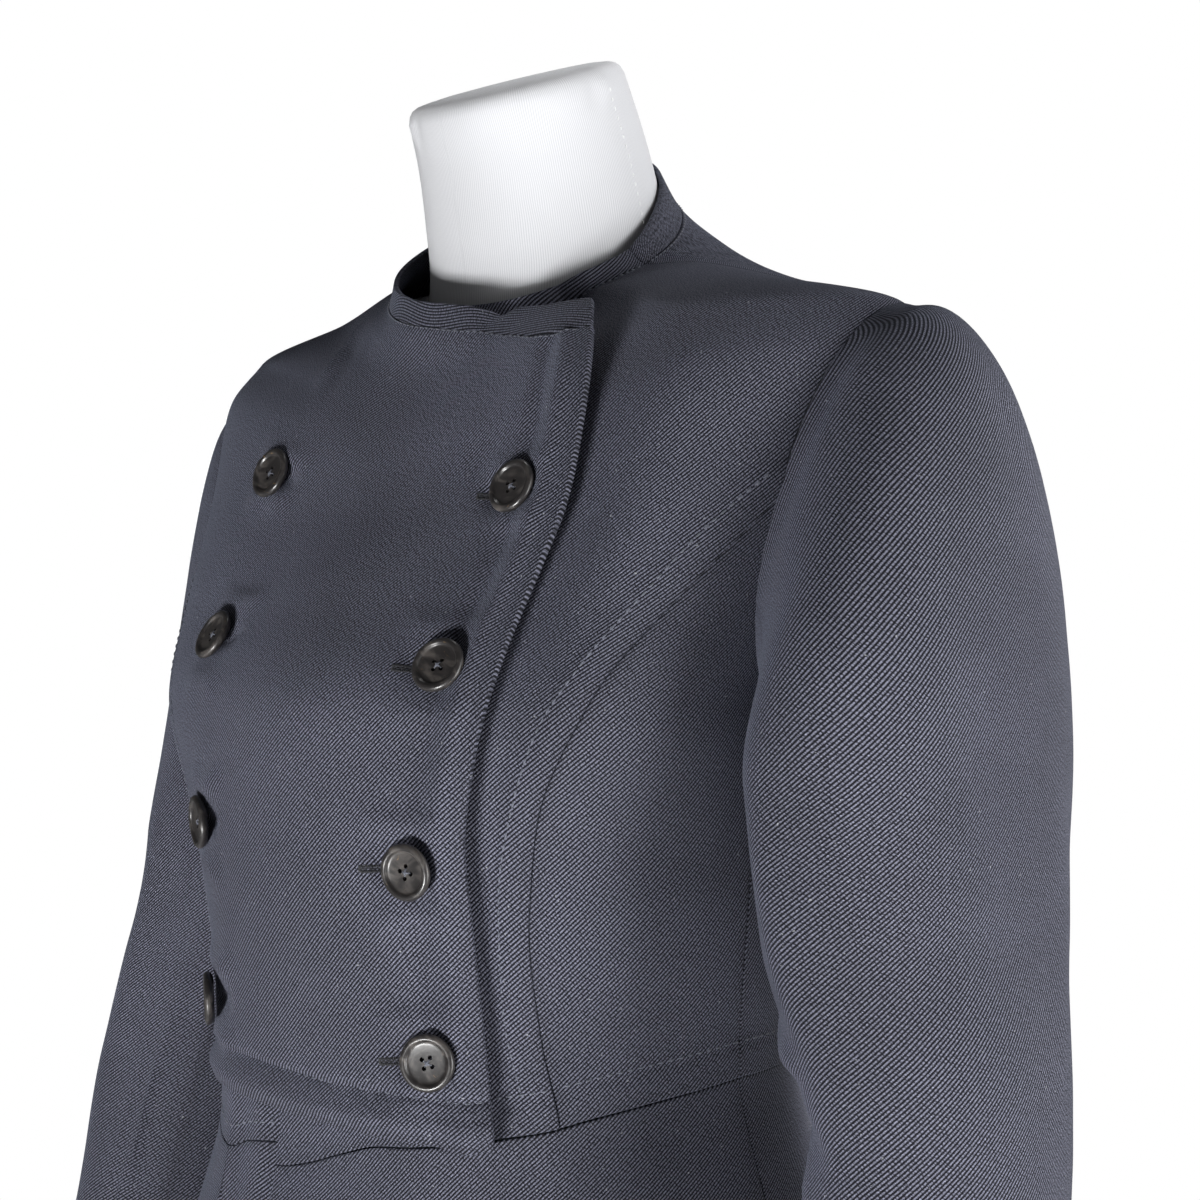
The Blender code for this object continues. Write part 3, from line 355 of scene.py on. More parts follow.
@dataclass(frozen=True)
class Layers:
    """How deep each layer of the coat lies behind the worn form.

    Attributes:
        left_front: Depth of the left front where the bib covers it.
        right_under: Depth of the inner right front where the bib covers it.
        strip: Its depth in the strip that shows below the bib.
        deep: Its depth behind the left front.
        under_ease: Degrees over which the left front comes forward past the bib.
        left_fade: Level below which the left front is flush, and levels over which it sinks in.
        right_fade: The same for the right skirt front.
        hem_fade: The same for the inner right front, which keeps hem_share of its depth there.
        hem_share: See hem_fade.
        skirt_seam_turn: Turn of the seam beside the strip, at the waist.
    """

    left_front: float = 5.5 * MM
    right_under: float = 3.0 * MM
    strip: float = 5.5 * MM
    deep: float = 10.0 * MM
    under_ease: float = 12.0
    left_fade: tuple[float, float] = (0.13, 0.08)
    right_fade: tuple[float, float] = (0.17, 0.035)
    hem_fade: tuple[float, float] = (0.02, 0.18)
    hem_share: float = 0.45
    skirt_seam_turn: float = -27.0

    def flush_at(self, turn: Array, level: Array) -> Array:
        """A piece with nothing over it lies on the worn form."""
        return np.zeros(np.broadcast(turn, level).shape)

    def bib_at(self, turn: Array, level: Array) -> Array:
        """The bib lies on the worn form and lifts towards its free edge."""
        lift, reach = np.moveaxis(read_table(BIB_LIFT, level), -1, 0)
        edge = read_value(BIB_EDGE, level)
        return -lift * ease((turn - edge + reach) / reach)

    def left_front_at(self, turn: Array, level: Array) -> Array:
        """The left front lies behind the bib and comes forward past its edge and below it.

        Args:
            turn: Degrees round the body.
            level: Levels from 0 at the hem to 1 at the neckline.

        Returns:
            How deep it lies behind the worn form, in metres.
        """
        edge = read_value(BIB_EDGE, level)
        beside = 1 - ease((turn - edge - 1.0) / self.under_ease)
        start, reach = self.left_fade
        return self.left_front * beside * ease((level - start) / reach)

    def right_under_at(self, turn: Array, level: Array) -> Array:
        """The inner right front: behind the bib, then a strip, then deep behind the left front.

        Args:
            turn: Degrees round the body.
            level: Levels from 0 at the hem to 1 at the neckline.

        Returns:
            How deep it lies behind the worn form, in metres.
        """
        edge = read_value(LEFT_FRONT_EDGE, level)
        strip = ease((turn - self.skirt_seam_turn) / 5.0)
        deep = ease((turn - edge + 7.0) / 6.0)
        inset = self.right_under + (self.strip - self.right_under) * strip
        inset = inset + (self.deep - self.strip) * deep
        start, reach = self.hem_fade
        return inset * (self.hem_share + (1 - self.hem_share) * ease((level - start) / reach))

    def skirt_right_at(self, turn: Array, level: Array) -> Array:
        """The right skirt front: on the worn form, and behind the bib's hem near the waist."""
        under_bib = ease((turn + PRINCESS_TURN) / 9.0)
        start, reach = self.right_fade
        return self.right_under * under_bib * ease((level - start) / reach)


# --- lines on the cloth ---

@dataclass(frozen=True)
class Track:
    """A line in space that tells how far points lie from it, and where along it."""

    points: Array

    @cached_property
    def run(self) -> Array:
        """The run of the line at each of its points."""
        return lengths_along(self.points)

    def measure(self, at: Array) -> tuple[Array, Array]:
        """Measures points against the line.

        Args:
            at: Points, one a row.

        Returns:
            Their distances from the line, and the run of its nearest point.
        """
        line = self.points
        centre = line.mean(axis=0)
        flat, track = at - centre, line - centre
        squares = (flat**2).sum(1)[:, None] - 2 * flat @ track.T + (track**2).sum(1)[None, :]
        nearest = squares.argmin(axis=1)
        best = np.full(len(at), np.inf)
        along = np.zeros(len(at))
        for shift in (-1, 0):
            first = np.clip(nearest + shift, 0, len(line) - 2)
            start, way = line[first], line[first + 1] - line[first]
            part = np.clip(((at - start) * way).sum(1) / np.maximum((way**2).sum(1), 1e-18), 0, 1)
            distance = np.linalg.norm(at - start - way * part[:, None], axis=1)
            closer = distance < best
            best = np.where(closer, distance, best)
            run = self.run[first] + part * (self.run[first + 1] - self.run[first])
            along = np.where(closer, run, along)
        return best, along

    def raised(self, base: Array, reach: float, height: Callable[[Array, Array], Array]) -> Array:
        """Raises cloth beside the line.

        Args:
            base: Points of the cloth.
            reach: How far from the line they rise at most.
            height: Gives heights from distances and runs.

        Returns:
            Heights in metres, 0 for points out of reach.
        """
        flat = base.reshape(-1, 3)
        low, high = self.points.min(0) - reach, self.points.max(0) + reach
        near = np.flatnonzero(np.all((flat > low) & (flat < high), axis=1))
        out = np.zeros(len(flat))
        if len(near):
            out[near] = height(*self.measure(flat[near]))
        return out.reshape(base.shape[:-1])


@dataclass(frozen=True)
class Fold:
    """A soft ridge along a line of the cloth, or a trough where its height is negative.

    Attributes:
        line: A few points of the line, as turn and level, or as angle and height on a sleeve.
        height: How far it rises in metres.
        width: Its half width in metres.
        starts_open: Whether it keeps its height at its start.
        ends_open: Whether it keeps its height at its end.
        samples: How many points the line is read at.
    """

    line: Rows
    height: float
    width: float
    starts_open: bool = False
    ends_open: bool = False
    samples: int = 60

    def rise(self, surface: Surface, base: Array) -> Array:
        """Gives how far the cloth rises at its points.

        Args:
            surface: The form that the line lies on.
            base: Points of the cloth before it rises.

        Returns:
            Heights in metres.
        """
        path = smooth_line(self.line, self.samples)
        track = Track(surface(path[:, 0], path[:, 1]))

        def height(distance: Array, along: Array) -> Array:
            """Heights at distances and runs.

            Args:
                distance: How far from the line.
                along: How far along it.

            Returns:
                Heights in metres.
            """
            part = along / track.run[-1]
            start = 1.0 if self.starts_open else ease(part / 0.35)
            end = 1.0 if self.ends_open else ease((1 - part) / 0.35)
            return self.height * np.exp(-((distance / self.width) ** 2)) * start * end

        return track.raised(base, 2.6 * self.width, height)


@dataclass(frozen=True)
class Welt:
    """Cloth that stands proud over a seam allowance, up to a row of stitches that draws it in."""

    line: Array
    width: float
    height: float
    dip: float
    pitch: float = 4.5 * MM
    dip_width: float = 1.3 * MM
    soft: float = 3.0 * MM

    def rise(self, surface: Surface, base: Array) -> Array:
        """Gives how far the cloth rises at its points; see Fold.rise.

        Args:
            surface: The form that the line lies on.
            base: Points of the cloth before it rises.

        Returns:
            Heights in metres.
        """
        def height(distance: Array, along: Array) -> Array:
            """Heights at distances and runs."""
            proud = self.height * (1 - ease((distance - self.width) / self.soft))
            beat = 0.7 + 0.3 * np.cos(2 * np.pi * along / self.pitch)
            return proud - self.dip * np.exp(-(((distance - self.width) / self.dip_width) ** 2)) * beat

        track = Track(surface(self.line[:, 0], self.line[:, 1]))
        return track.raised(base, self.width + 2 * self.soft, height)


Relief = Fold | Welt


def by_level(table: Array, low: float, high: float) -> Curve:
    """A line given as turn against level, from one level to another.

    Args:
        table: Levels with their turns.
        low: Level at which it starts.
        high: Level at which it ends.

    Returns:
        The line.
    """
    def curve(part: Array) -> Array:
        """Turns and levels at parts of the line."""
        level = low + (high - low) * part
        return np.stack([read_value(table, level), level], -1)
    return curve


def by_turn(table: Array, start: float, end: float, lift: float = 0.0) -> Curve:
    """A line given as level against turn, from one turn to another, lifted by some levels.

    Args:
        table: Turns with their levels.
        start: Turn at which it starts.
        end: Turn at which it ends.
        lift: Levels added all along.

    Returns:
        The line.
    """
    def curve(part: Array) -> Array:
        """Turns and levels at parts of the line."""
        turn = start + (end - start) * part
        return np.stack([turn, read_value(table, turn) + lift], -1)
    return curve


def straight(start: Sequence[float], end: Sequence[float]) -> Curve:
    """A line that is straight in turn and level."""
    first, last = np.array(start, float), np.array(end, float)
    return lambda part: first + (last - first) * np.asarray(part)[:, None]


# The left armhole: its middle as turn and level, half size in both, how many degrees it is
# slimmer in front, and how many its top leans back.
ARMHOLE_MIDDLE = (88.5, 0.585)
ARMHOLE_SIZE = (15.5, 0.133)
ARMHOLE_SLIMMER = 1.5
ARMHOLE_LEAN = 9.0


def armhole_at(angle: Array | float) -> Array:
    """The left armhole at angles in degrees: 0 at the shoulder, 90 in front, 180 underarm.

    Args:
        angle: Angles round the armhole.

    Returns:
        A turn and a level for each.
    """
    sine, cosine = np.sin(np.radians(angle)), np.cos(np.radians(angle))
    lean = ARMHOLE_LEAN * ((1 + cosine) / 2) ** 2
    width = ARMHOLE_SIZE[0] - ARMHOLE_SLIMMER * sine
    turn = ARMHOLE_MIDDLE[0] + lean - width * sine
    return np.stack([turn, ARMHOLE_MIDDLE[1] + ARMHOLE_SIZE[1] * cosine], -1)


def armhole(start: float, end: float) -> Curve:
    """A stretch of the left armhole."""
    return lambda part: armhole_at(start + (end - start) * np.asarray(part))


@dataclass(frozen=True)
class Border:
    """A border of a panel: a line of turn and level with its run on the cloth and its corners."""

    points: Array
    run: Array
    corners: tuple[float, ...]

    @classmethod
    def of(cls, form: WornForm, *curves: Curve, samples: int = 200) -> "Border":
        """Joins curves end to end.

        Args:
            form: The worn form, on which the run is measured.
            curves: The stretches of the border.
            samples: How many points each stretch is read at.

        Returns:
            The border.
        """
        lines = [curve(np.linspace(0.0, 1.0, samples + 1)) for curve in curves]
        points = np.concatenate([lines[0]] + [line[1:] for line in lines[1:]])
        run = lengths_along(form.surface(points[:, 0], points[:, 1]))
        ends = [samples * k for k in range(1, len(curves))]
        return cls(points, run, tuple(float(run[end] / run[-1]) for end in ends))

    @property
    def length(self) -> float:
        """Its length on the cloth."""
        return float(self.run[-1])

    def at(self, parts: Array) -> Array:
        """Its points at parts of its length."""
        run = parts * self.length
        return np.stack([np.interp(run, self.run, self.points[:, k]) for k in (0, 1)], -1)

    def turned_back(self) -> "Border":
        """The same border run the other way."""
        corners = tuple(1.0 - corner for corner in reversed(self.corners))
        return Border(self.points[::-1], self.length - self.run[::-1], corners)

    def mirrored(self) -> "Border":
        """The same border on the other side of the body."""
        return Border(self.points * MIRROR, self.run, self.corners)


# --- from grids to meshes ---

class Edge(Enum):
    """What a border of a panel is."""

    SEAM = "turned in and sewn to its neighbour"
    FREE = "folded back on itself"
    HIDDEN = "under another piece"


@dataclass(frozen=True)
class Spacing:
    """How close the points of a grid lie."""

    step: float = 3.2 * MM
    first: float = 0.35 * MM
    growth: float = 1.32

    def gaps(self, room: float) -> list[float]:
        """Growing gaps from a rolled border until they reach the plain step.

        Args:
            room: The length from border to border.

        Returns:
            The gaps, the smallest first.
        """
        gaps, gap = [], self.first
        while gap < self.step and sum(gaps) + gap < 0.4 * room:
            gaps.append(gap)
            gap *= self.growth
        return gaps

    def parts(self, length: float, corners: Sequence[float], close: tuple[bool, bool]) -> Array:
        """Spreads points over a border.

        Args:
            length: Its length in metres.
            corners: Parts at which a point must lie.
            close: Whether points crowd at its start and at its end.

        Returns:
            Parts from 0 to 1.
        """
        head = np.cumsum([0.0] + (self.gaps(length) if close[0] else []))
        tail = length - np.cumsum([0.0] + (self.gaps(length) if close[1] else []))[::-1]
        stops = [head[-1]] + [corner * length for corner in corners] + [tail[0]]
        stops = [stop for stop in stops if head[-1] <= stop <= tail[0]]
        middle = [np.array([stops[0]])]
        for low, high in zip(stops[:-1], stops[1:]):
            count = max(1, round((high - low) / self.step))
            middle.append(np.linspace(low, high, count + 1)[1:])
        return np.concatenate([head[:-1], *middle, tail[1:]]) / length


def patch(bottom: Array, top: Array, left: Array, right: Array, across: Array, up: Array) -> Array:
    """Fills four borders.

    Args:
        bottom: Its points at the parts across.
        top: Its points at the parts across.
        left: Its points at the parts up.
        right: Its points at the parts up.
        across: Parts from the left border to the right.
        up: Parts from the bottom border to the top.

    Returns:
        A grid of turns and levels, rows from bottom to top, columns from left to right.
    """
    across, up = across[None, :, None], up[:, None, None]
    rows = (1 - up) * bottom[None] + up * top[None]
    columns = (1 - across) * left[:, None] + across * right[:, None]
    corners = (
        (1 - up) * (1 - across) * bottom[0] + (1 - up) * across * bottom[-1]
        + up * (1 - across) * top[0] + up * across * top[-1]
    )
    return rows + columns - corners


def border_distances(base: Array) -> list[Array]:
    """Lengths on the cloth from each point of a grid to its bottom, top, left and right border."""
    up, along = lengths_along(base), lengths_along(base, 1)
    return [up, up[-1:] - up, along, along[:, -1:] - along]


def rolled(distance: Array, radius: float) -> Array:
    """How deep cloth that is rolled over an edge lies, at distances from that edge."""
    part = np.clip(1 - distance / radius, 0.0, 1.0)
    return radius * (1 - np.sqrt(1 - part**2))


def make_object(name: str, points: Array, quads: Array, cloth: Array, press: Array | None = None,
                sharp: float = 60.0) -> bpy.types.Object:
    """Makes a mesh object of four-sided faces.

    Args:
        name: The piece's name.
        points: Its points.
        quads: Four point numbers a face; a fourth that repeats the third makes a triangle.
        cloth: Two lengths for each point, kept as the UV map "cloth".
        press: How near each point is to a seam or free edge, from 0 to 1; the cloth is smoother there
            and painted shade darkens it.
        sharp: Angle in degrees past which an edge is shaded sharp.

    Returns:
        The object, linked to the scene.
    """
    mesh = bpy.data.meshes.new(name)
    triangle = quads[:, 3] == quads[:, 2]
    sizes = np.where(triangle, 3, 4)
    starts = np.concatenate([[0], np.cumsum(sizes)[:-1]])
    keep = np.ones(quads.shape, bool)
    keep[:, 3] = ~triangle
    corners = quads[keep]
    mesh.vertices.add(len(points))
    mesh.vertices.foreach_set("co", np.ascontiguousarray(points, np.float32).ravel())
    mesh.loops.add(len(corners))
    mesh.loops.foreach_set("vertex_index", corners.astype(np.int32))
    mesh.polygons.add(len(quads))
    mesh.polygons.foreach_set("loop_start", starts.astype(np.int32))
    mesh.update(calc_edges=True)
    mesh.validate()
    layer = mesh.uv_layers.new(name="cloth")
    layer.data.foreach_set("uv", np.ascontiguousarray(cloth[corners], np.float32).ravel())
    if press is not None:
        attribute = mesh.attributes.new("press", "FLOAT", "POINT")
        attribute.data.foreach_set("value", np.ascontiguousarray(press, np.float32))
    mesh.shade_smooth()
    mesh.set_sharp_from_angle(angle=math.radians(sharp))
    obj = bpy.data.objects.new(name, mesh)
    bpy.context.scene.collection.objects.link(obj)
    return obj


def grid_quads(rows: int, columns: int, first: int = 0) -> Array:
    """Faces of a grid of points, counter-clockwise from its outer side."""
    index = first + np.arange(rows * columns).reshape(rows, columns)
    return np.stack([index[:-1, :-1], index[:-1, 1:], index[1:, 1:], index[1:, :-1]], -1).reshape(-1, 4)


def border_loop(rows: int, columns: int) -> Array:
    """Point numbers round the border of a grid, starting at its first point."""
    index = np.arange(rows * columns).reshape(rows, columns)
    return np.concatenate([index[0, :-1], index[:-1, -1], index[-1, :0:-1], index[:0:-1, 0]])


def belt_quads(rings: int, sides: int) -> Array:
    """Faces between rings of points that run up, counter-clockwise from outside."""
    index = np.arange(rings * sides).reshape(rings, sides)
    nearby = np.roll(index, -1, axis=1)
    return np.stack([index[:-1], nearby[:-1], nearby[1:], index[1:]], -1).reshape(-1, 4)


def ring_solid(rings: Array) -> tuple[Array, Array]:
    """Closes rings of points that run up with a fan at each end.

    Args:
        rings: Points by ring and side.

    Returns:
        The points, with the middles of the first and last ring behind them, and the faces.
    """
    count, sides = rings.shape[:2]
    first, last = np.arange(sides), (count - 1) * sides + np.arange(sides)
    low, high = np.full(sides, count * sides), np.full(sides, count * sides + 1)
    fans = [np.stack([np.roll(first, -1), first, low, low], -1),
            np.stack([last, np.roll(last, -1), high, high], -1)]
    points = np.concatenate([rings.reshape(-1, 3), [rings[0].mean(0)], [rings[-1].mean(0)]])
    return points, np.concatenate([belt_quads(count, sides), *fans])


def ring_normals(grid: Array) -> Array:
    """Outward normals of rings of points that run up."""
    around = np.roll(grid, -1, axis=1) - np.roll(grid, 1, axis=1)
    return unit(np.cross(around, np.gradient(grid, axis=0)))


def circle(radius: float, height: float, sides: int) -> Array:
    """A level ring of points round the origin."""
    angles = np.linspace(0, 2 * np.pi, sides, endpoint=False)
    return np.stack([radius * np.cos(angles), radius * np.sin(angles), np.full(sides, height)], -1)


# Turns of the cloth from its outer side to its inner, as depth and bulge at each step.
PLAIN_RIM = ((0.0, 0.0), (0.25, 0.6), (0.5, 0.8), (0.75, 0.6), (1.0, 0.0))
# The bib's edge shows its two layers of cloth with the seam between them.
SEAMED_RIM = (
    (0.0, 0.0), (0.06, 0.35), (0.16, 0.75), (0.30, 0.95), (0.42, 0.75), (0.48, 0.25), (0.52, 0.25),
    (0.58, 0.75), (0.70, 0.95), (0.84, 0.75), (0.94, 0.35), (1.0, 0.0),
)


def wall_object(name: str, outer: Array, inner: Array, cloth: Array, press: Array, bulge: Array,
                rim: Rows) -> bpy.types.Object:
    """Makes a closed shell of cloth.

    Args:
        name: The piece's name.
        outer: Grid of its outer points.
        inner: Grid of its inner points.
        cloth: Lengths round and up the cloth at each grid point.
        press: How near each grid point is to a seam or free edge, from 0 to 1; the cloth is smoother
            there and painted shade darkens it.
        bulge: How far the rim swells at each point of the border, in metres.
        rim: The shape of the rim.

    Returns:
        The object.
    """
    rows, columns = outer.shape[:2]
    count = rows * columns
    loop = border_loop(rows, columns)
    flat_outer, flat_inner = outer.reshape(-1, 3), inner.reshape(-1, 3)
    start, end = flat_outer[loop], flat_inner[loop]
    away = unit(start - border_neighbours(outer))
    between = [
        start + (end - start) * depth + away * (bulge * swell)[:, None]
        for depth, swell in rim[1:-1]
    ]
    points = np.concatenate([flat_outer, flat_inner, *between])
    belts = [loop] + [2 * count + k * len(loop) + np.arange(len(loop)) for k in range(len(between))]
    belts.append(count + loop)
    faces = [grid_quads(rows, columns), grid_quads(rows, columns, count)[:, ::-1]]
    for upper, lower in zip(belts[:-1], belts[1:]):
        faces.append(np.stack([np.roll(upper, -1), upper, lower, np.roll(lower, -1)], -1))
    flat_cloth, flat_press_and_shade = cloth.reshape(-1, 2), press.ravel()
    all_cloth = np.concatenate([flat_cloth, flat_cloth, *([flat_cloth[loop]] * len(between))])
    all_press_and_shade = np.concatenate([flat_press_and_shade, flat_press_and_shade, *([flat_press_and_shade[loop]] * len(between))])
    return make_object(name, points, np.concatenate(faces), all_cloth, all_press_and_shade)


def border_neighbours(grid: Array) -> Array:
    """For each point round the border of a grid, the next point inwards from it.

    Args:
        grid: The points of a piece.

    Returns:
        The next points, in the order of the border.
    """
    rows, columns = grid.shape[:2]
    near = [grid[1, :-1], grid[:-1, -2], grid[-2, :0:-1], grid[:0:-1, 1]]
    joined = np.concatenate(near)
    corners = {0: grid[1, 1], columns - 1: grid[1, -2], columns + rows - 2: grid[-2, -2],
               2 * columns + rows - 3: grid[-2, 1]}
    for at, point in corners.items():
        joined[at] = point
    return joined


def border_values(rows: int, columns: int, sides: Sequence[float]) -> Array:
    """Spreads one value for each side (bottom, top, left, right) in the order of border_loop."""
    bottom, top, left, right = sides
    return np.repeat((bottom, right, top, left), (columns - 1, rows - 1, columns - 1, rows - 1))


@dataclass(frozen=True)
class Panel:
    """One piece of cloth on the worn form.

    Attributes:
        name: The CAD node that it stands for.
        bottom: Its lower border, from left to right.
        top: Its upper border, from left to right.
        left: Its border at the lower turns, from bottom to top.
        right: Its border at the higher turns, from bottom to top.
        layer: How deep it lies behind the worn form.
        edges: What its bottom, top, left and right borders are.
        relief: Its creases and welts.
        spacing: How close its points lie.
        wall: Its thickness.
        edge_wall: How much thicker it is at a free edge.
        rim: The turn of its cloth at the borders.
        grain: Degrees by which its weave is turned.
        roll: How far its cloth rolls over at a seam.
        clearance: How far its border keeps from its neighbours.
        rest: Height of its natural unevenness.
    """

    name: str
    bottom: Border
    top: Border
    left: Border
    right: Border
    layer: Layer
    edges: tuple[Edge, Edge, Edge, Edge]
    relief: tuple[Relief, ...] = ()
    spacing: Spacing = Spacing()
    wall: float = 1.6 * MM
    edge_wall: float = 0.0
    rim: Rows = PLAIN_RIM
    grain: float = 0.0
    roll: float = 0.85 * MM
    clearance: float = 0.12 * MM
    rest: float = 0.35 * MM

    def mirrored(self, name: str, layer: Layer) -> "Panel":
        """The same panel on the other side of the body.

        Args:
            name: Its name.
            layer: How deep it lies behind the worn form.

        Returns:
            The mirrored panel.
        """
        bottom, top, left, right = self.edges
        return replace(
            self, name=name, layer=layer, edges=(bottom, top, right, left),
            bottom=self.bottom.turned_back().mirrored(), top=self.top.turned_back().mirrored(),
            left=self.right.mirrored(), right=self.left.mirrored(),
            relief=tuple(mirrored_relief(one) for one in self.relief),
        )

    def skin(self, form: WornForm, turn: Array, level: Array) -> tuple[Array, Array]:
        """Gives points on its outer side, away from its borders.

        Args:
            form: The worn form.
            turn: Degrees round the body.
            level: Levels.

        Returns:
            The points and their normals.
        """
        base, normal = form.surface(turn, level), form.normal(turn, level)
        rise = self.rise(form, base)
        return base + normal * (rise - self.layer(turn, level))[..., None], normal

    def rise(self, form: WornForm, base: Array) -> Array:
        """How far the cloth stands off its layer at base points of the worn form."""
        rise = undulation(base, 0.085, self.rest) + undulation(base, 0.034, 0.3 * self.rest)
        return rise + sum((one.rise(form.surface, base) for one in self.relief), np.zeros(rise.shape))

    def build(self, form: WornForm) -> tuple[bpy.types.Object, Array]:
        """Makes the piece.

        Args:
            form: The worn form.

        Returns:
            The object and the base points of its grid.
        """
        closed = [edge is not Edge.HIDDEN for edge in self.edges]
        across = self.spacing.parts(max(self.bottom.length, self.top.length),
                                    self.bottom.corners + self.top.corners, (closed[2], closed[3]))
        up = self.spacing.parts(max(self.left.length, self.right.length),
                                self.left.corners + self.right.corners, (closed[0], closed[1]))
        grid = patch(self.bottom.at(across), self.top.at(across), self.left.at(up), self.right.at(up),
                     across, up)
        turn, level = grid[..., 0], grid[..., 1]
        base, normal = form.surface(turn, level), form.normal(turn, level)
        lift = self.rise(form, base) - self.layer(turn, level)
        wall = np.full(turn.shape, self.wall)
        roll, inner_roll = np.zeros(turn.shape), np.zeros(turn.shape)
        near = np.full(turn.shape, np.inf)
        for edge, distance in zip(self.edges, border_distances(base)):
            if edge is Edge.HIDDEN:
                continue
            near = np.minimum(near, distance)
            if edge is Edge.FREE:
                wall = wall + self.edge_wall * np.exp(-((distance / EDGE_REACH) ** 2))
                roll = np.maximum(roll, rolled(distance, 0.7 * self.roll))
                inner_roll = np.maximum(inner_roll, rolled(distance, 0.4 * self.roll))
            else:
                roll = np.maximum(roll, rolled(distance, self.roll))
        roll = np.minimum(roll, 0.8 * wall)
        outer = base + normal * (lift - roll)[..., None]
        inner = base + normal * (lift - wall + inner_roll)[..., None]
        outer, inner = (drawn_in(points, self.clearance) for points in (outer, inner))
        swell = (0.72 if self.edge_wall else 0.45) * MM
        bulge = border_values(
            *turn.shape, [swell if edge is Edge.FREE else 0.0 for edge in self.edges])
        cloth = turned_cloth(form.cloth(turn, level), self.grain)
        # Nearness to seams and free edges: it smooths the cloth there and paints shade into its colour.
        press = np.exp(-near / PRESS_AND_SHADE_REACH)
        return wall_object(self.name, outer, inner, cloth, press, bulge, self.rim), base


def mirrored_relief(relief: Relief) -> Relief:
    """The same crease or welt on the other side of the body."""
    if isinstance(relief, Fold):
        return replace(relief, line=tuple((-turn, level) for turn, level in relief.line))
    return replace(relief, line=relief.line * MIRROR)


def drawn_in(grid: Array, clearance: float) -> Array:
    """The grid with its border moved inwards, so that neighbours stay apart at their seam.

    Args:
        grid: The points of a piece.
        clearance: How far its border moves.

    Returns:
        The new grid.
    """
    result = grid.copy()
    for axis in (0, 1):
        lines = np.moveaxis(result, axis, 0)
        source = np.moveaxis(grid, axis, 0)
        lines[0] += unit(source[2] - source[0]) * clearance
        lines[-1] += unit(source[-3] - source[-1]) * clearance
    return result


def turned_cloth(cloth: Array, degrees: float) -> Array:
    """Cloth lengths turned in the plane of the cloth, for a piece cut on another grain.

    Args:
        cloth: Two lengths for each point.
        degrees: Angle of the other grain.

    Returns:
        The turned lengths.
    """
    angle = math.radians(degrees)
    cosine, sine = math.cos(angle), math.sin(angle)
    return np.stack([cloth[..., 0] * cosine - cloth[..., 1] * sine,
                     cloth[..., 0] * sine + cloth[..., 1] * cosine], -1)


# --- stitches ---

@dataclass(frozen=True)
class StitchShape:
    """One machine stitch of thread."""

    length: float = 3.1 * MM
    pitch: float = 4.5 * MM
    radius: float = 0.34 * MM
    sink: float = 0.36 * MM
    proud: float = 0.16 * MM
    sides: int = 6


class Stitches:
    """Rows of stitches that are joined into one piece."""

    PROFILE = ((0.0, 0.30), (0.12, 0.80), (0.35, 1.0), (0.65, 1.0), (0.88, 0.80), (1.0, 0.30))

    def __init__(self) -> None:
        """Starts with no stitches."""
        self.points: list[Array] = []
        self.faces: list[Array] = []
        self.cloth: list[Array] = []
        self.count = 0

    def tube(self, start: Array, end: Array, normal: Array, shape: StitchShape) -> None:
        """Adds stitches from start points to end points.

        Args:
            start: Where each stitch goes into the cloth, one a row.
            end: Where it comes out again.
            normal: Outward normal of the cloth at each.
            shape: Size of the stitches.
        """
        way = end - start
        along = unit(way)
        side = unit(np.cross(normal, along))
        up = np.cross(along, side)
        angles = np.linspace(0, 2 * np.pi, shape.sides, endpoint=False)
        rings = []
        for part, size in self.PROFILE:
            bow = 4 * part * (1 - part)
            centre = start + way * part + up * (shape.proud * bow - shape.sink * (1 - bow))
            for angle in angles:
                offset = side * math.cos(angle) + up * math.sin(angle)
                rings.append(centre + offset * shape.radius * size)
        number, per = len(start), len(rings)
        k, last = np.arange(1, shape.sides - 1), per - shape.sides
        one = np.concatenate([
            belt_quads(len(self.PROFILE), shape.sides), np.stack([0 * k, k + 1, k, k], -1),
            last + np.stack([0 * k, k, k + 1, k + 1], -1)])
        faces = one[None] + (self.count + per * np.arange(number))[:, None, None]
        ring_run = np.repeat([part for part, _ in self.PROFILE], shape.sides) * shape.length
        ring_turn = np.tile(np.arange(shape.sides) / shape.sides, len(self.PROFILE)) * 2 * MM
        self.points.append(np.stack(rings, axis=1).reshape(-1, 3))
        self.faces.append(faces.reshape(-1, 4))
        self.cloth.append(np.tile(np.stack([ring_turn, ring_run], -1), (number, 1)))
        self.count += number * per

    def row(self, points: Array, normals: Array, shape: StitchShape) -> None:
        """Adds a row of stitches along a line of close points with their normals.

        Args:
            points: The line, where the thread runs.
            normals: Outward normals of the cloth there.
            shape: Size of the stitches.
        """
        run = lengths_along(points)
        starts = np.arange(0.4 * shape.pitch, run[-1] - shape.length, shape.pitch)

        def read(values: Array, at: Array) -> Array:
            """Values of the line at runs."""
            return np.stack([np.interp(at, run, values[:, k]) for k in range(3)], -1)

        middle = starts + shape.length / 2
        self.tube(read(points, starts), read(points, starts + shape.length),
                  unit(read(normals, middle)), shape)

    def build(self, name: str) -> bpy.types.Object:
        """Makes the joined piece."""
        return make_object(name, np.concatenate(self.points), np.concatenate(self.faces),
                           np.concatenate(self.cloth), sharp=80.0)


# --- materials ---

Colour = tuple[float, float, float, float]
Socket = bpy.types.NodeSocket


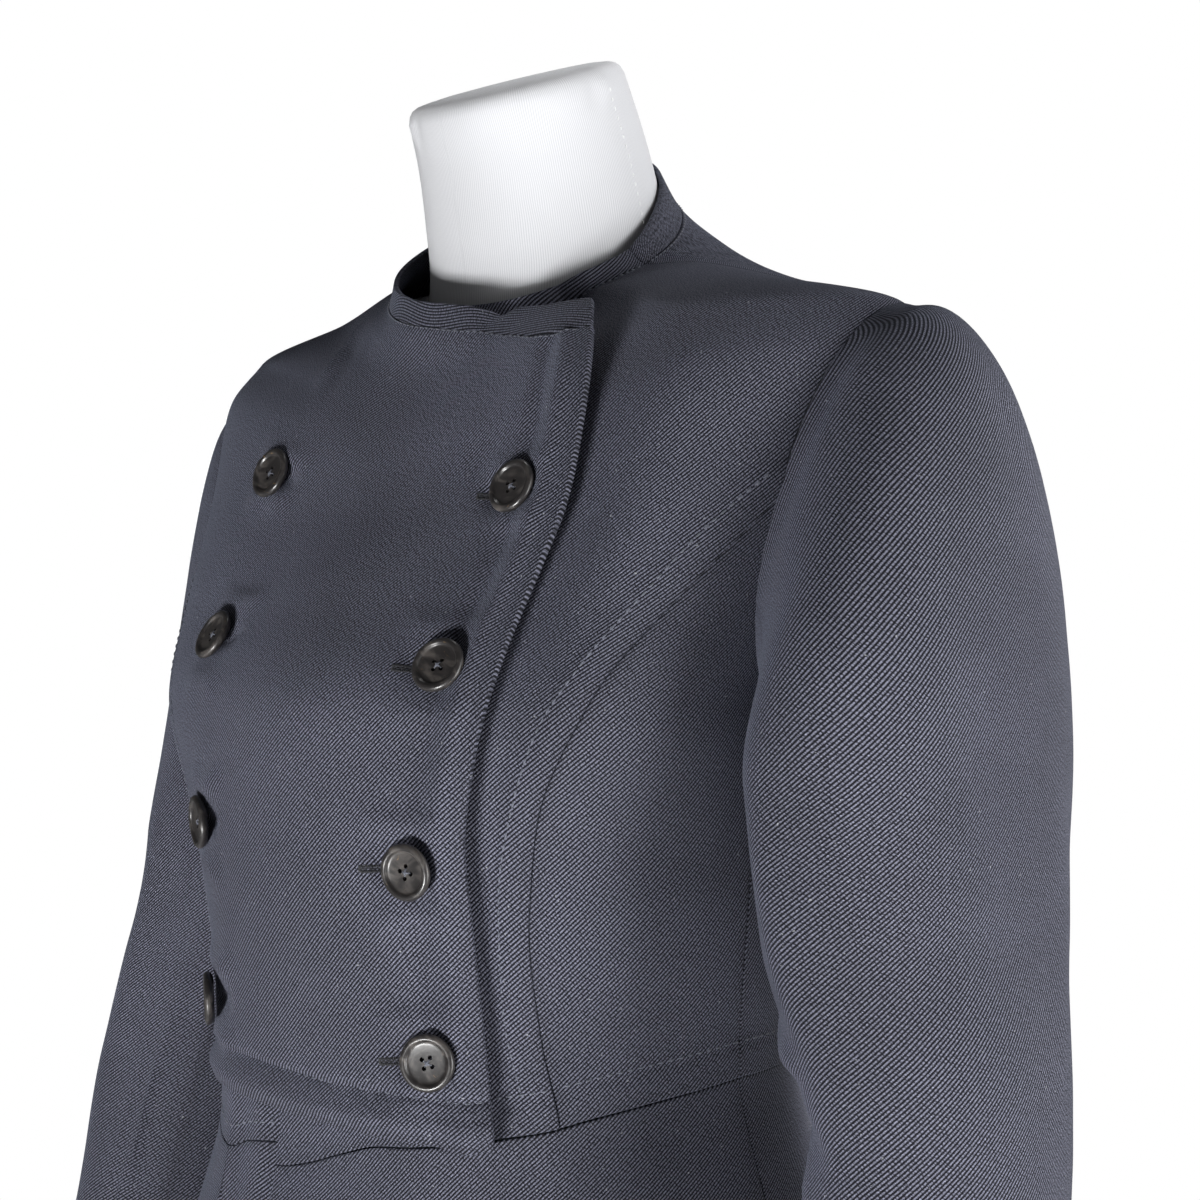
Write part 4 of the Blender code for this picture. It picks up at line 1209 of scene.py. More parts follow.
class Nodes:
    """Adds linked nodes to a node tree."""

    def __init__(self, tree: bpy.types.NodeTree) -> None:
        """Works on one tree."""
        self.tree = tree

    def add(self, kind: str, inputs: dict[str | int, object] | None = None,
            **settings: object) -> bpy.types.Node:
        """Adds a node.

        Args:
            kind: Its type, without the leading "ShaderNode".
            inputs: Values or sockets for its inputs.
            settings: Its properties.

        Returns:
            The node.
        """
        name = kind if kind.startswith("Node") else "ShaderNode" + kind
        node = self.tree.nodes.new(name)
        for key, value in settings.items():
            setattr(node, key, value)
        return self.feed(node, inputs or {})

    def feed(self, node: bpy.types.Node, inputs: dict[str | int, object]) -> bpy.types.Node:
        """Links sockets to a node's inputs, or sets their values.

        Args:
            node: The node.
            inputs: Values or sockets for its inputs.

        Returns:
            The node.
        """
        for key, value in inputs.items():
            if isinstance(value, Socket):
                self.tree.links.new(value, node.inputs[key])
            else:
                node.inputs[key].default_value = value
        return node

    def bump(self, height: Socket, strength: float, distance: float) -> Socket:
        """A normal that follows a height."""
        inputs = {"Height": height, "Strength": strength, "Distance": distance}
        return self.add("Bump", inputs).outputs[0]

    def product(self, first: object, second: object) -> Socket:
        """Two numbers multiplied."""
        return self.maths("MULTIPLY", first, second)

    def maths(self, operation: str, first: object, second: object = 0.0,
              third: object = 0.0) -> Socket:
        """A number worked out from up to three."""
        node = self.add("Math", {0: first, 1: second, 2: third}, operation=operation)
        return node.outputs[0]

    def blend(self, factor: object, first: object, second: object, how: str = "MIX") -> Socket:
        """A colour blended from two."""
        node = self.add("Mix", {0: factor, 6: first, 7: second}, data_type="RGBA", blend_type=how)
        return node.outputs[2]

    def span(self, value: object, low: float, high: float, to_low: float = 0.0,
             to_high: float = 1.0) -> Socket:
        """A number carried from one span to another, and kept inside it."""
        inputs = {0: value, 1: low, 2: high, 3: to_low, 4: to_high}
        return self.add("MapRange", inputs, interpolation_type="SMOOTHSTEP").outputs[0]

    def noise(self, vector: Socket, scale: object, detail: float = 2.0,
              distortion: float = 0.0) -> Socket:
        """Soft noise from 0 to 1."""
        inputs = {"Vector": vector, "Scale": scale, "Detail": detail, "Distortion": distortion}
        return self.add("TexNoise", inputs).outputs[0]


class Effects:
    """Node groups that more than one material uses, each built once."""

    def __init__(self) -> None:
        """Builds the groups."""
        self.ribs = self.build_ribs()
        self.fibres = self.build_fibres()

    @staticmethod
    def new_group(name: str, inputs: Sequence[tuple[str, str, float]],
                  outputs: Sequence[str]) -> tuple[bpy.types.NodeTree, Nodes, bpy.types.Node]:
        """Starts a group.

        Args:
            name: Its name.
            inputs: Name, socket type and default value of each input.
            outputs: Names of its float outputs.

        Returns:
            The group, its nodes and its input node.
        """
        group = bpy.data.node_groups.new(name, "ShaderNodeTree")
        for label, kind, value in inputs:
            socket = group.interface.new_socket(name=label, in_out="INPUT", socket_type=kind)
            if kind == "NodeSocketFloat":
                socket.default_value = value
        for label in outputs:
            group.interface.new_socket(name=label, in_out="OUTPUT", socket_type="NodeSocketFloat")
        nodes = Nodes(group)
        return group, nodes, nodes.add("NodeGroupInput")

    def build_ribs(self) -> bpy.types.NodeTree:
        """Parallel ribs such as twill lines, knitted wales or the twist of a thread.

        Returns:
            The node group.
        """
        group, nodes, given = self.new_group(
            "parallel_ribs",
            (("Lengths", "NodeSocketVector", 0.0), ("Angle", "NodeSocketFloat", 0.6),
             ("Pitch", "NodeSocketFloat", 1.5 * MM), ("Wander", "NodeSocketFloat", 0.3),
             ("Wander Scale", "NodeSocketFloat", 40.0), ("Beads", "NodeSocketFloat", 0.3)),
            ("Height",),
        )
        lengths, pitch = given.outputs["Lengths"], given.outputs["Pitch"]
        x, y = nodes.add("SeparateXYZ", {0: lengths}).outputs[:2]
        sine = nodes.maths("SINE", given.outputs["Angle"])
        cosine = nodes.maths("COSINE", given.outputs["Angle"])
        across = nodes.maths("SUBTRACT", nodes.product(y, cosine), nodes.product(x, sine))
        along = nodes.maths("ADD", nodes.product(x, cosine), nodes.product(y, sine))
        wander = nodes.noise(lengths, given.outputs["Wander Scale"], 1.0)
        shift = nodes.product(nodes.maths("SUBTRACT", wander, 0.5), given.outputs["Wander"])
        count = nodes.maths("ADD", nodes.maths("DIVIDE", across, pitch), shift)
        wave = nodes.maths("SINE", nodes.product(count, 2 * math.pi))
        height = nodes.maths("MULTIPLY_ADD", wave, 0.5, 0.5)
        bead_run = nodes.maths("DIVIDE", along, nodes.product(pitch, 0.55))
        bead_way = nodes.add("CombineXYZ", {0: bead_run, 1: nodes.maths("FLOOR", count)})
        beads = nodes.noise(bead_way.outputs[0], 1.0, 1.0)
        breaks = nodes.product(nodes.span(beads, 0.35, 0.65), given.outputs["Beads"])
        whole = nodes.maths("SUBTRACT", 1.0, breaks)
        nodes.add("NodeGroupOutput", {"Height": nodes.product(height, whole)})
        return group

    def build_fibres(self) -> bpy.types.NodeTree:
        """Fine fibres, broad soft patches and scattered specks of lint.

        Returns:
            The node group.
        """
        group, nodes, given = self.new_group(
            "fibres",
            (("Lengths", "NodeSocketVector", 0.0), ("Fineness", "NodeSocketFloat", 1800.0),
             ("Patch Scale", "NodeSocketFloat", 9.0), ("Speck Scale", "NodeSocketFloat", 520.0)),
            ("Fuzz", "Patch", "Specks"),
        )
        lengths = given.outputs["Lengths"]
        broad = nodes.noise(lengths, given.outputs["Patch Scale"], 3.0)
        speck = nodes.noise(lengths, given.outputs["Speck Scale"], 1.0)
        nodes.add("NodeGroupOutput", {
            "Fuzz": nodes.noise(lengths, given.outputs["Fineness"]),
            "Patch": nodes.span(broad, 0.3, 0.7), "Specks": nodes.span(speck, 0.745, 0.80)})
        return group


def new_material(name: str, settings: dict[str, object]) -> tuple[bpy.types.Material, Nodes,
                                                                  bpy.types.Node]:
    """Starts a material.

    Args:
        name: Its name.
        settings: Values of the shader's own sockets.

    Returns:
        The material, its nodes and its Principled shader.
    """
    material = bpy.data.materials.new(name)
    material.use_nodes = True
    shader = material.node_tree.nodes["Principled BSDF"]
    for key, value in settings.items():
        shader.inputs[key].default_value = value
    return material, Nodes(material.node_tree), shader


@dataclass(frozen=True)
class Gabardine:
    """Dark wool gabardine with a plain diagonal twill."""

    rib: Colour = (0.205, 0.210, 0.275, 1.0)
    groove: Colour = (0.006, 0.006, 0.009, 1.0)
    lint: Colour = (0.42, 0.43, 0.46, 1.0)
    angle: float = 44.0
    pitch: float = 1.32 * MM

    def build(self, effects: Effects) -> bpy.types.Material:
        """Makes the material.

        Args:
            effects: The shared node groups.

        Returns:
            The material.
        """
        material, nodes, shader = new_material("wool_gabardine", {
            "Sheen Weight": 0.12, "Sheen Roughness": 0.40, "Sheen Tint": (0.62, 0.70, 0.92, 1.0),
            "Specular IOR Level": 0.22, "IOR": 1.45,
        })
        lengths = nodes.add("UVMap", uv_map="cloth").outputs[0]
        height = nodes.add("Group", {
            "Lengths": lengths, "Angle": math.radians(self.angle), "Pitch": self.pitch,
            "Wander": 0.4, "Wander Scale": 45.0, "Beads": 0.65,
        }, node_tree=effects.ribs).outputs["Height"]
        fibres = nodes.add("Group", {"Lengths": lengths}, node_tree=effects.fibres).outputs
        press = nodes.add("Attribute", attribute_name="press", attribute_type="GEOMETRY").outputs["Fac"]
        weave = nodes.maths("ADD", nodes.product(height, 0.7), nodes.product(fibres["Fuzz"], 0.6))
        colour = nodes.blend(nodes.span(weave, 0.34, 0.92), self.groove, self.rib)
        # Random tonal patches, and painted shade that darkens the colour by up to a fifth near seams and
        # free edges.
        patch_tone = nodes.span(fibres["Patch"], 0.0, 1.0, 0.88, 1.10)
        shade = nodes.product(patch_tone, nodes.span(press, 0.0, 1.0, 1.0, 0.80))
        tint = nodes.add("CombineColor", {0: shade, 1: shade, 2: shade}).outputs[0]
        colour = nodes.blend(1.0, colour, tint, "MULTIPLY")
        rough = nodes.span(height, 0.0, 1.0, 0.88, 0.66)
        nodes.feed(shader, {
            "Base Color": nodes.blend(nodes.product(fibres["Specks"], 0.6), colour, self.lint),
            "Roughness": nodes.maths("SUBTRACT", rough, nodes.product(press, 0.08)),
            "Normal": nodes.bump(weave, 1.0, 0.42 * MM)})
        return material


@dataclass(frozen=True)
class Thread:
    """Twisted sewing thread."""

    name: str = "sewing_thread"
    light: Colour = (0.200, 0.215, 0.270, 1.0)
    dark: Colour = (0.050, 0.054, 0.070, 1.0)

    def build(self, effects: Effects) -> bpy.types.Material:
        """Makes the material.

        Args:
            effects: The shared node groups.

        Returns:
            The material.
        """
        material, nodes, shader = new_material(self.name, {
            "Roughness": 0.55, "Sheen Weight": 0.25, "Specular IOR Level": 0.4,
        })
        twist = nodes.add("Group", {
            "Lengths": nodes.add("UVMap", uv_map="cloth").outputs[0], "Angle": 0.7,
            "Pitch": 0.45 * MM}, node_tree=effects.ribs).outputs["Height"]
        nodes.feed(shader, {"Base Color": nodes.blend(twist, self.dark, self.light),
                            "Normal": nodes.bump(twist, 0.5, 0.08 * MM)})
        return material


@dataclass(frozen=True)
class Horn:
    """Polished dark horn with paler streaks."""

    body: Colour = (0.022, 0.020, 0.020, 1.0)
    smoke: Colour = (0.085, 0.076, 0.070, 1.0)
    streak: Colour = (0.42, 0.27, 0.12, 1.0)

    def build(self) -> bpy.types.Material:
        """Makes the material.

        Returns:
            The material.
        """
        material, nodes, shader = new_material("polished_horn", {
            "Roughness": 0.34, "Specular IOR Level": 0.4, "IOR": 1.54, "Coat Roughness": 0.12,
            "Coat Weight": 0.22,
        })
        place = nodes.add("TexCoord").outputs["Object"]
        stretched = nodes.add("Mapping", {"Vector": place, "Scale": (70.0, 260.0, 120.0)})
        cloudy = nodes.noise(stretched.outputs[0], 1.0, 5.0, 1.4)
        streaky = nodes.noise(stretched.outputs[0], 2.3, 6.0, 2.2)
        colour = nodes.blend(nodes.span(cloudy, 0.45, 0.75), self.body, self.smoke)
        streaks = nodes.product(nodes.span(streaky, 0.66, 0.80), 0.5)
        nodes.feed(shader, {
            "Base Color": nodes.blend(streaks, colour, self.streak),
            "Roughness": nodes.span(cloudy, 0.3, 0.7, 0.28, 0.44),
            "Normal": nodes.bump(streaky, 0.10, 0.15 * MM)})
        return material


@dataclass(frozen=True)
class Jersey:
    """Fine white jersey with wavy wales."""

    rib: Colour = (0.70, 0.705, 0.725, 1.0)
    groove: Colour = (0.55, 0.555, 0.58, 1.0)

    def build(self, effects: Effects) -> bpy.types.Material:
        """Makes the material.

        Args:
            effects: The shared node groups.

        Returns:
            The material.
        """
        material, nodes, shader = new_material("white_jersey", {
            "Roughness": 0.9, "Sheen Weight": 0.15, "Specular IOR Level": 0.2,
        })
        lengths = nodes.add("UVMap", uv_map="cloth").outputs[0]
        wales = nodes.add("Group", {
            "Lengths": lengths, "Angle": math.radians(90.0), "Pitch": 0.95 * MM, "Wander": 5.0,
            "Wander Scale": 26.0, "Beads": 0.25}, node_tree=effects.ribs).outputs["Height"]
        fuzz = nodes.add("Group", {"Lengths": lengths}, node_tree=effects.fibres).outputs["Fuzz"]
        knit = nodes.maths("ADD", nodes.product(wales, 0.7), nodes.product(fuzz, 0.3))
        nodes.feed(shader, {
            "Base Color": nodes.blend(nodes.span(knit, 0.1, 0.8), self.groove, self.rib),
            "Normal": nodes.bump(knit, 0.35, 0.12 * MM)})
        return material


@dataclass(frozen=True)
class Enamel:
    """Pale stove enamel of the stand, a little scuffed."""

    colour: Colour = (0.58, 0.585, 0.60, 1.0)
    scuff: Colour = (0.44, 0.44, 0.45, 1.0)

    def build(self) -> bpy.types.Material:
        """Makes the material.

        Returns:
            The material.
        """
        material, nodes, shader = new_material("stand_enamel", {
            "Roughness": 0.35, "Specular IOR Level": 0.5,
        })
        place = nodes.add("TexCoord").outputs["Object"]
        scuffs = nodes.noise(place, 55.0, 6.0, 0.6)
        nodes.feed(shader, {
            "Base Color": nodes.blend(nodes.span(scuffs, 0.58, 0.75), self.colour, self.scuff),
            "Roughness": nodes.span(scuffs, 0.4, 0.7, 0.28, 0.5),
            "Normal": nodes.bump(nodes.noise(place, 900.0, 1.0), 0.15, 0.2 * MM)})
        return material


@dataclass(frozen=True)
class Finishes:
    """The materials of every piece."""

    cloth: bpy.types.Material
    thread: bpy.types.Material
    dark_thread: bpy.types.Material
    horn: bpy.types.Material
    jersey: bpy.types.Material
    white_thread: bpy.types.Material
    stand: bpy.types.Material

    @classmethod
    def make(cls) -> "Finishes":
        """Builds all materials.

        Returns:
            The materials.
        """
        effects = Effects()
        white = Thread("white_thread", (0.93, 0.93, 0.93, 1.0), (0.72, 0.72, 0.74, 1.0))
        # The dark thread also serves the buttonhole slits, where its darkness is painted shade.
        dark = Thread("dark_thread", (0.030, 0.031, 0.038, 1.0), (0.008, 0.008, 0.010, 1.0))
        return cls(Gabardine().build(effects), Thread().build(effects), dark.build(effects),
                   Horn().build(), Jersey().build(effects), white.build(effects), Enamel().build())


def dress(obj: bpy.types.Object, material: bpy.types.Material,
          nodes: Sequence[str] = ()) -> bpy.types.Object:
    """Gives a piece its material and its place in the frame.

    Args:
        obj: The piece.
        material: Its finish.
        nodes: The CAD nodes that it stands for.

    Returns:
        The piece.
    """
    obj.data.materials.clear()
    obj.data.materials.append(material)
    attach(obj, BODY)
    if nodes:
        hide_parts(*nodes)
    LOG.info("%s: %d faces", obj.name, len(obj.data.polygons))
    return obj


def declare_sheet(obj: bpy.types.Object, base: Array) -> None:
    """Works out the width and length of a piece's cut on its grid, and keeps them nowhere.

    Args:
        obj: The piece; not used.
        base: Its grid on the worn form.
    """
    up, _, along, _ = border_distances(base)
    width, length = float(along[:, -1].max()), float(up[-1].max())
    width, length = round(width, 3), round(length, 3)


# --- button places ---

@dataclass(frozen=True)
class ButtonPlace:
    """Where a button sits: its distance from centre front and its height."""

    name: str
    across: float
    height: float
    spin: float
    tilt: float = 0.0
    lift: float = 0.0


BUTTONS = (
    ButtonPlace("button_left_1", 0.0755, 1.2835, 20.0),
    ButtonPlace("button_left_2", 0.0690, 1.2128, 8.0),
    ButtonPlace("button_left_3", 0.0600, 1.1344, 35.0, -10.0, 1.5 * MM),
    ButtonPlace("button_left_4", 0.0625, 1.0592, 15.0),
    ButtonPlace("button_right_1", -0.0755, 1.2945, 28.0),
    ButtonPlace("button_right_2", -0.0705, 1.2231, 40.0),
    ButtonPlace("button_right_3", -0.0650, 1.1457, 12.0),
    ButtonPlace("button_right_4", -0.0650, 1.0700, 30.0, -9.0, 1.6 * MM),
)


def on_bib(form: WornForm, layers: Layers, place: ButtonPlace) -> tuple[float, float]:
    """Finds a button's seat on the bib.

    Args:
        form: The worn form.
        layers: The layers of the coat.
        place: Where the button sits.

    Returns:
        The turn and level of the seat.
    """
    def at(turn: float, level: float) -> Array:
        """The bib's point at a turn and level."""
        return form.point(turn, level, layers.bib_at(turn, level))

    aim = np.array([place.across, place.height])
    turn_step, level_step = 0.5, 0.002
    turn, level = 30.0 * np.sign(place.across), (place.height - 0.86) / 0.72
    for _ in range(30):
        here, wide, high = at(turn, level), at(turn + turn_step, level), at(turn, level + level_step)
        slopes = np.stack([(wide - here) / turn_step, (high - here) / level_step], -1)[[0, 2]]
        step = np.linalg.solve(slopes, aim - here[[0, 2]])
        turn, level = turn + step[0], level + step[1]
    return float(turn), float(level)


# --- bodice and skirt ---

SEAM, FREE, HIDDEN = Edge.SEAM, Edge.FREE, Edge.HIDDEN


@dataclass(frozen=True)
class Coat:
    """The panels of the bodice, the neckband and the skirt."""

    form: WornForm
    layers: Layers
    welt_height: float = 1.0 * MM
    welt_width: float = 13.0 * MM
    stitch_dip: float = 1.0 * MM

    def border(self, *curves: Curve) -> Border:
        """A border made of curves."""
        return Border.of(self.form, *curves)

    def side_line(self, table: Array, notch: float, shoulder: float) -> Border:
        """From the waist up a princess seam, the armhole and the shoulder seam to the neck.

        Args:
            table: The princess seam.
            notch: The angle at which it meets the armhole.
            shoulder: The angle of the shoulder, reached from that side.

        Returns:
            The border.
        """
        return self.border(
            by_level(table, WAIST_LEVEL, PRINCESS_TOP_LEVEL), armhole(notch, shoulder),
            straight(armhole_at(shoulder), (SIDE_TURN, BAND_LEVEL)))

    def side_seam(self) -> Border:
        """From the waist up to the underarm."""
        return self.border(straight((SIDE_TURN, WAIST_LEVEL), armhole_at(UNDERARM)))

    def welt(self, curve: Curve, share: float = 1.0) -> Welt:
        """The proud strip beside a seam, at a share of its full height."""
        line = curve(np.linspace(0.0, 1.0, 160))
        return Welt(line, self.welt_width, share * self.welt_height, self.stitch_dip)

    def princess_welt(self, table: Array) -> Welt:
        """The proud strip beside a princess seam."""
        return self.welt(by_level(table, WAIST_LEVEL, PRINCESS_TOP_LEVEL))

    def waist_welt(self, start: float, end: float) -> Welt:
        """The proud strip above the waist seam."""
        return self.welt(by_turn(WAIST_SEAM, start, end), 0.6)

    def drags(self) -> list[Fold]:
        """Slight pulls in the cloth on either side of each button.

        Returns:
            The folds.
        """
        # Turns (towards the middle negative) and levels from the button, height and width.
        pulls = (
            ((-9.0, 0.004), (-3.0, 0.001), (5.0, -0.003), -0.9, 5.0 * MM),
            ((-12.0, 0.028), (-3.0, 0.021), (8.0, 0.024), 0.7, 6.0 * MM),
            ((-10.0, -0.026), (0.0, -0.022), (7.0, -0.029), 0.6, 6.0 * MM),
        )
        folds = []
        for place, strength in zip(BUTTONS, 2 * (3.4 * MM, 2.8 * MM, 4.0 * MM, 3.4 * MM)):
            turn, level = on_bib(self.form, self.layers, place)
            way = math.copysign(1.0, place.across)
            for *line, share, width in pulls:
                path = tuple((turn + side * way, level + rise) for side, rise in line)
                folds.append(Fold(path, share * strength, width))
        return folds

    def bib(self) -> Panel:
        """The right front, which laps over to the left.

        Returns:
            The panel.
        """
        def beside_edge(turns: float) -> Rows:
            """The free edge moved inwards."""
            return tuple((turn - turns, level) for level, turn in BIB_EDGE[:-1])

        def above_hem(levels: float) -> Rows:
            """The hem moved up."""
            return tuple((turn, level + levels) for turn, level in BIB_HEM)

        relief = (
            *self.drags(),
            mirrored_relief(self.princess_welt(PRINCESS_FRONT)),
            Fold(beside_edge(4.6), 2.0 * MM, 3.6 * MM, True, True, 120),
            Fold(beside_edge(9.0), -2.0 * MM, 4.2 * MM, True, True, 120),
            Fold(above_hem(0.009), 2.6 * MM, 4.5 * MM, True, True, 120),
            Fold(above_hem(0.0235), -2.0 * MM, 1.8 * MM, True, True, 160),
            Fold(((-58.0, 0.865), (-52.0, 0.81), (-45.0, 0.771), (-40.0, 0.70)), 1.5 * MM, 3.0 * MM),
            Fold(((-50.0, 0.83), (-40.0, 0.77), (-34.0, 0.70)), -1.2 * MM, 5.0 * MM),
            Fold(((22.0, 0.64), (30.0, 0.60), (36.0, 0.52)), -1.3 * MM, 7.0 * MM),
        )
        return Panel(
            "bib_front",
            bottom=self.border(by_turn(BIB_HEM, BIB_HEM[0, 0], BIB_HEM[-1, 0])),
            top=self.border(by_turn(BIB_BAND_SEAM, -SIDE_TURN, BIB_BAND_SEAM[-1, 0])),
            left=self.side_line(PRINCESS_FRONT, ARMHOLE_NOTCH, 0.0).mirrored(),
            right=self.border(by_level(BIB_EDGE, BIB_EDGE[0, 0], BIB_BAND_SEAM[-1, 1])),
            layer=self.layers.bib_at, edges=(FREE, SEAM, SEAM, FREE), relief=relief,
            spacing=Spacing(2.6 * MM), edge_wall=1.9 * MM, rim=SEAMED_RIM)

    def front_left(self) -> Panel:
        """The left front, from its hidden edge to the princess seam.

        Returns:
            The panel.
        """
        return Panel(
            "front_left",
            bottom=self.border(by_turn(WAIST_SEAM, LEFT_WAIST_TURN, PRINCESS_TURN)),
            top=self.border(straight((LEFT_NECK_TURN, BAND_LEVEL), (SIDE_TURN, BAND_LEVEL))),
            left=self.border(by_level(LEFT_FRONT_EDGE, LEFT_FRONT_EDGE[1, 0], BAND_LEVEL)),
            right=self.side_line(PRINCESS_FRONT, ARMHOLE_NOTCH, 0.0),
            layer=self.layers.left_front_at, edges=(SEAM, SEAM, HIDDEN, SEAM),
            relief=(self.princess_welt(PRINCESS_FRONT),
                    self.waist_welt(LEFT_WAIST_TURN, PRINCESS_TURN)),
            spacing=Spacing(2.8 * MM))

    def side_front(self) -> Panel:
        """Between princess seam and side seam, in front.

        Returns:
            The panel.
        """
        return Panel(
            "side_front_left",
            bottom=self.border(by_turn(WAIST_SEAM, PRINCESS_TURN, SIDE_TURN)),
            top=self.border(armhole(ARMHOLE_NOTCH, UNDERARM)),
            left=self.border(by_level(PRINCESS_FRONT, WAIST_LEVEL, PRINCESS_TOP_LEVEL)),
            right=self.side_seam(),
            layer=self.layers.flush_at, edges=(SEAM, SEAM, SEAM, SEAM),
            relief=(self.waist_welt(PRINCESS_TURN, SIDE_TURN),))

    def side_back(self) -> Panel:
        """Between side seam and princess seam, behind.

        Returns:
            The panel.
        """
        end = PRINCESS_BACK[0, 1]
        return Panel(
            "side_back_left",
            bottom=self.border(by_turn(WAIST_SEAM, SIDE_TURN, end)),
            top=self.border(armhole(UNDERARM, 360.0 - ARMHOLE_NOTCH)),
            left=self.side_seam(),
            right=self.border(by_level(PRINCESS_BACK, WAIST_LEVEL, PRINCESS_TOP_LEVEL)),
            layer=self.layers.flush_at, edges=(SEAM, SEAM, SEAM, SEAM),
            relief=(self.waist_welt(SIDE_TURN, end),), spacing=Spacing(3.6 * MM))

    def back(self) -> Panel:
        """From princess seam to centre back.

        Returns:
            The panel.
        """
        return Panel(
            "back_left",
            bottom=self.border(by_turn(WAIST_SEAM, PRINCESS_BACK[0, 1], BACK_TURN)),
            top=self.border(straight((SIDE_TURN, BAND_LEVEL), (BACK_TURN, BAND_LEVEL))),
            left=self.side_line(PRINCESS_BACK, 360.0 - ARMHOLE_NOTCH, 360.0),
            right=self.border(straight((BACK_TURN, WAIST_LEVEL), (BACK_TURN, BAND_LEVEL))),
            layer=self.layers.flush_at, edges=(SEAM, SEAM, SEAM, SEAM),
            relief=(self.princess_welt(PRINCESS_BACK),
                    self.waist_welt(PRINCESS_BACK[0, 1], BACK_TURN)),
            spacing=Spacing(3.6 * MM))

    def front_right_under(self) -> Panel:
        """The inner right front, under both others.

        Returns:
            The panel.
        """
        start, end, inner, top = -43.3, UNDER_END_TURN, -37.3, 0.36
        bottom = self.border(by_turn(UNDER_WAIST_SEAM, start, end))
        return Panel(
            "front_right_under", bottom=bottom,
            top=self.border(straight((inner, top), (end, top))),
            left=self.border(straight(bottom.points[0], (inner, top))),
            right=self.border(straight(bottom.points[-1], (end, top))),
            layer=self.layers.right_under_at, edges=(SEAM, HIDDEN, HIDDEN, HIDDEN),
            spacing=Spacing(3.6 * MM), rest=0.1 * MM, wall=1.4 * MM)

    def band(self, name: str, bottom: Curve, top: Curve, layer: Layer,
             edges: tuple[Edge, Edge, Edge, Edge], grain: float) -> Panel:
        """A stretch of the neckband between the neckline and its seam.

        Args:
            name: Its name.
            bottom: Its lower border.
            top: Its upper border.
            layer: How deep it lies behind the worn form.
            edges: What its borders are.
            grain: Degrees by which its weave is turned.

        Returns:
            The panel.
        """
        low, high = bottom(np.array([0.0, 1.0])), top(np.array([0.0, 1.0]))
        return Panel(
            name, bottom=self.border(bottom), top=self.border(top),
            left=self.border(straight(low[0], high[0])), right=self.border(straight(low[1], high[1])),
            layer=layer, edges=edges, spacing=Spacing(1.6 * MM, growth=1.5), grain=grain,
            rest=0.15 * MM, edge_wall=0.6 * MM)

    def bands(self) -> list[Panel]:
        """The three stretches of the neckband.

        Returns:
            The panels.
        """
        def level_lines(start: float, end: float) -> tuple[Curve, Curve]:
            """The seam and the neckline of a band of even height."""
            return tuple(straight((start, at), (end, at)) for at in (BAND_LEVEL, 1.0))

        return [
            self.band("neckband_right", by_turn(BIB_BAND_SEAM, -SIDE_TURN, BIB_BAND_SEAM[-1, 0]),
                      by_turn(BIB_TOP, -SIDE_TURN, BIB_TOP[-1, 0]), self.layers.bib_at,
                      (SEAM, FREE, SEAM, FREE), 52.0),
            self.band("neckband_left", *level_lines(LEFT_NECK_TURN, SIDE_TURN),
                      self.layers.left_front_at, (SEAM, FREE, HIDDEN, SEAM), -24.0),
            self.band("neckband_back", *level_lines(SIDE_TURN, 360.0 - SIDE_TURN),
                      self.layers.flush_at, (SEAM, FREE, SEAM, SEAM), 0.0),
        ]

    def skirt(self, name: str, top: Border, hem: tuple[float, float], layer: Layer,
              edges: tuple[Edge, Edge, Edge, Edge], relief: tuple[Relief, ...] = (),
              left: Border | None = None) -> Panel:
        """A skirt panel below a stretch of the waist seam.

        Args:
            name: Its name.
            top: Its border at the waist.
            hem: Turns at which its hem starts and ends.
            layer: How deep it lies.
            edges: What its borders are.
            relief: Its creases.
            left: Its left border, where that isn't straight down to the hem's start.

        Returns:
            The panel.
        """
        return Panel(
            name, bottom=self.border(straight((hem[0], 0.0), (hem[1], 0.0))), top=top,
            left=left or self.border(straight((hem[0], 0.0), top.points[0])),
            right=self.border(straight((hem[1], 0.0), top.points[-1])),
            layer=layer, edges=edges, relief=relief, spacing=Spacing(5.0 * MM, growth=1.5),
            edge_wall=0.8 * MM)

    def skirts(self) -> list[Panel]:
        """The five panels of the skirt.

        Returns:
            The panels.
        """
        layers, middle = self.layers, self.layers.skirt_seam_turn
        left_top = self.border(by_turn(WAIST_SEAM, LEFT_WAIST_TURN, PRINCESS_TURN),
                               by_turn(WAIST_SEAM, PRINCESS_TURN, SIDE_TURN))
        left_edge = self.border(by_level(LEFT_FRONT_EDGE, 0.0, LEFT_FRONT_EDGE[1, 0]))
        right_top = self.border(straight((-SIDE_TURN, WAIST_LEVEL), (-PRINCESS_TURN, WAIST_LEVEL)),
                                by_turn(UNDER_WAIST_SEAM, -PRINCESS_TURN, middle))
        under_top = self.border(by_turn(UNDER_WAIST_SEAM, middle, UNDER_END_TURN))
        tucked = self.border(straight((-16.5, 0.0), under_top.points[0]))
        back_top = self.border(by_turn(WAIST_SEAM, SIDE_TURN, BACK_TURN))
        back = self.skirt("skirt_back_left", back_top, (SIDE_TURN, BACK_TURN), layers.flush_at,
                          (FREE, SEAM, SEAM, SEAM), SKIRT_BACK_FOLDS)
        return [
            self.skirt("skirt_front_left", left_top, (-5.3, SIDE_TURN), layers.left_front_at,
                       (FREE, SEAM, FREE, SEAM), SKIRT_LEFT_FOLDS, left_edge),
            self.skirt("skirt_front_under", under_top, (-14.0, 8.0), layers.right_under_at,
                       (FREE, SEAM, HIDDEN, HIDDEN), left=tucked),
            self.skirt("skirt_front_right", right_top, (-SIDE_TURN, -14.0), layers.skirt_right_at,
                       (FREE, SEAM, SEAM, SEAM), SKIRT_RIGHT_FOLDS),
            back,
            back.mirrored("skirt_back_right", layers.flush_at),
        ]

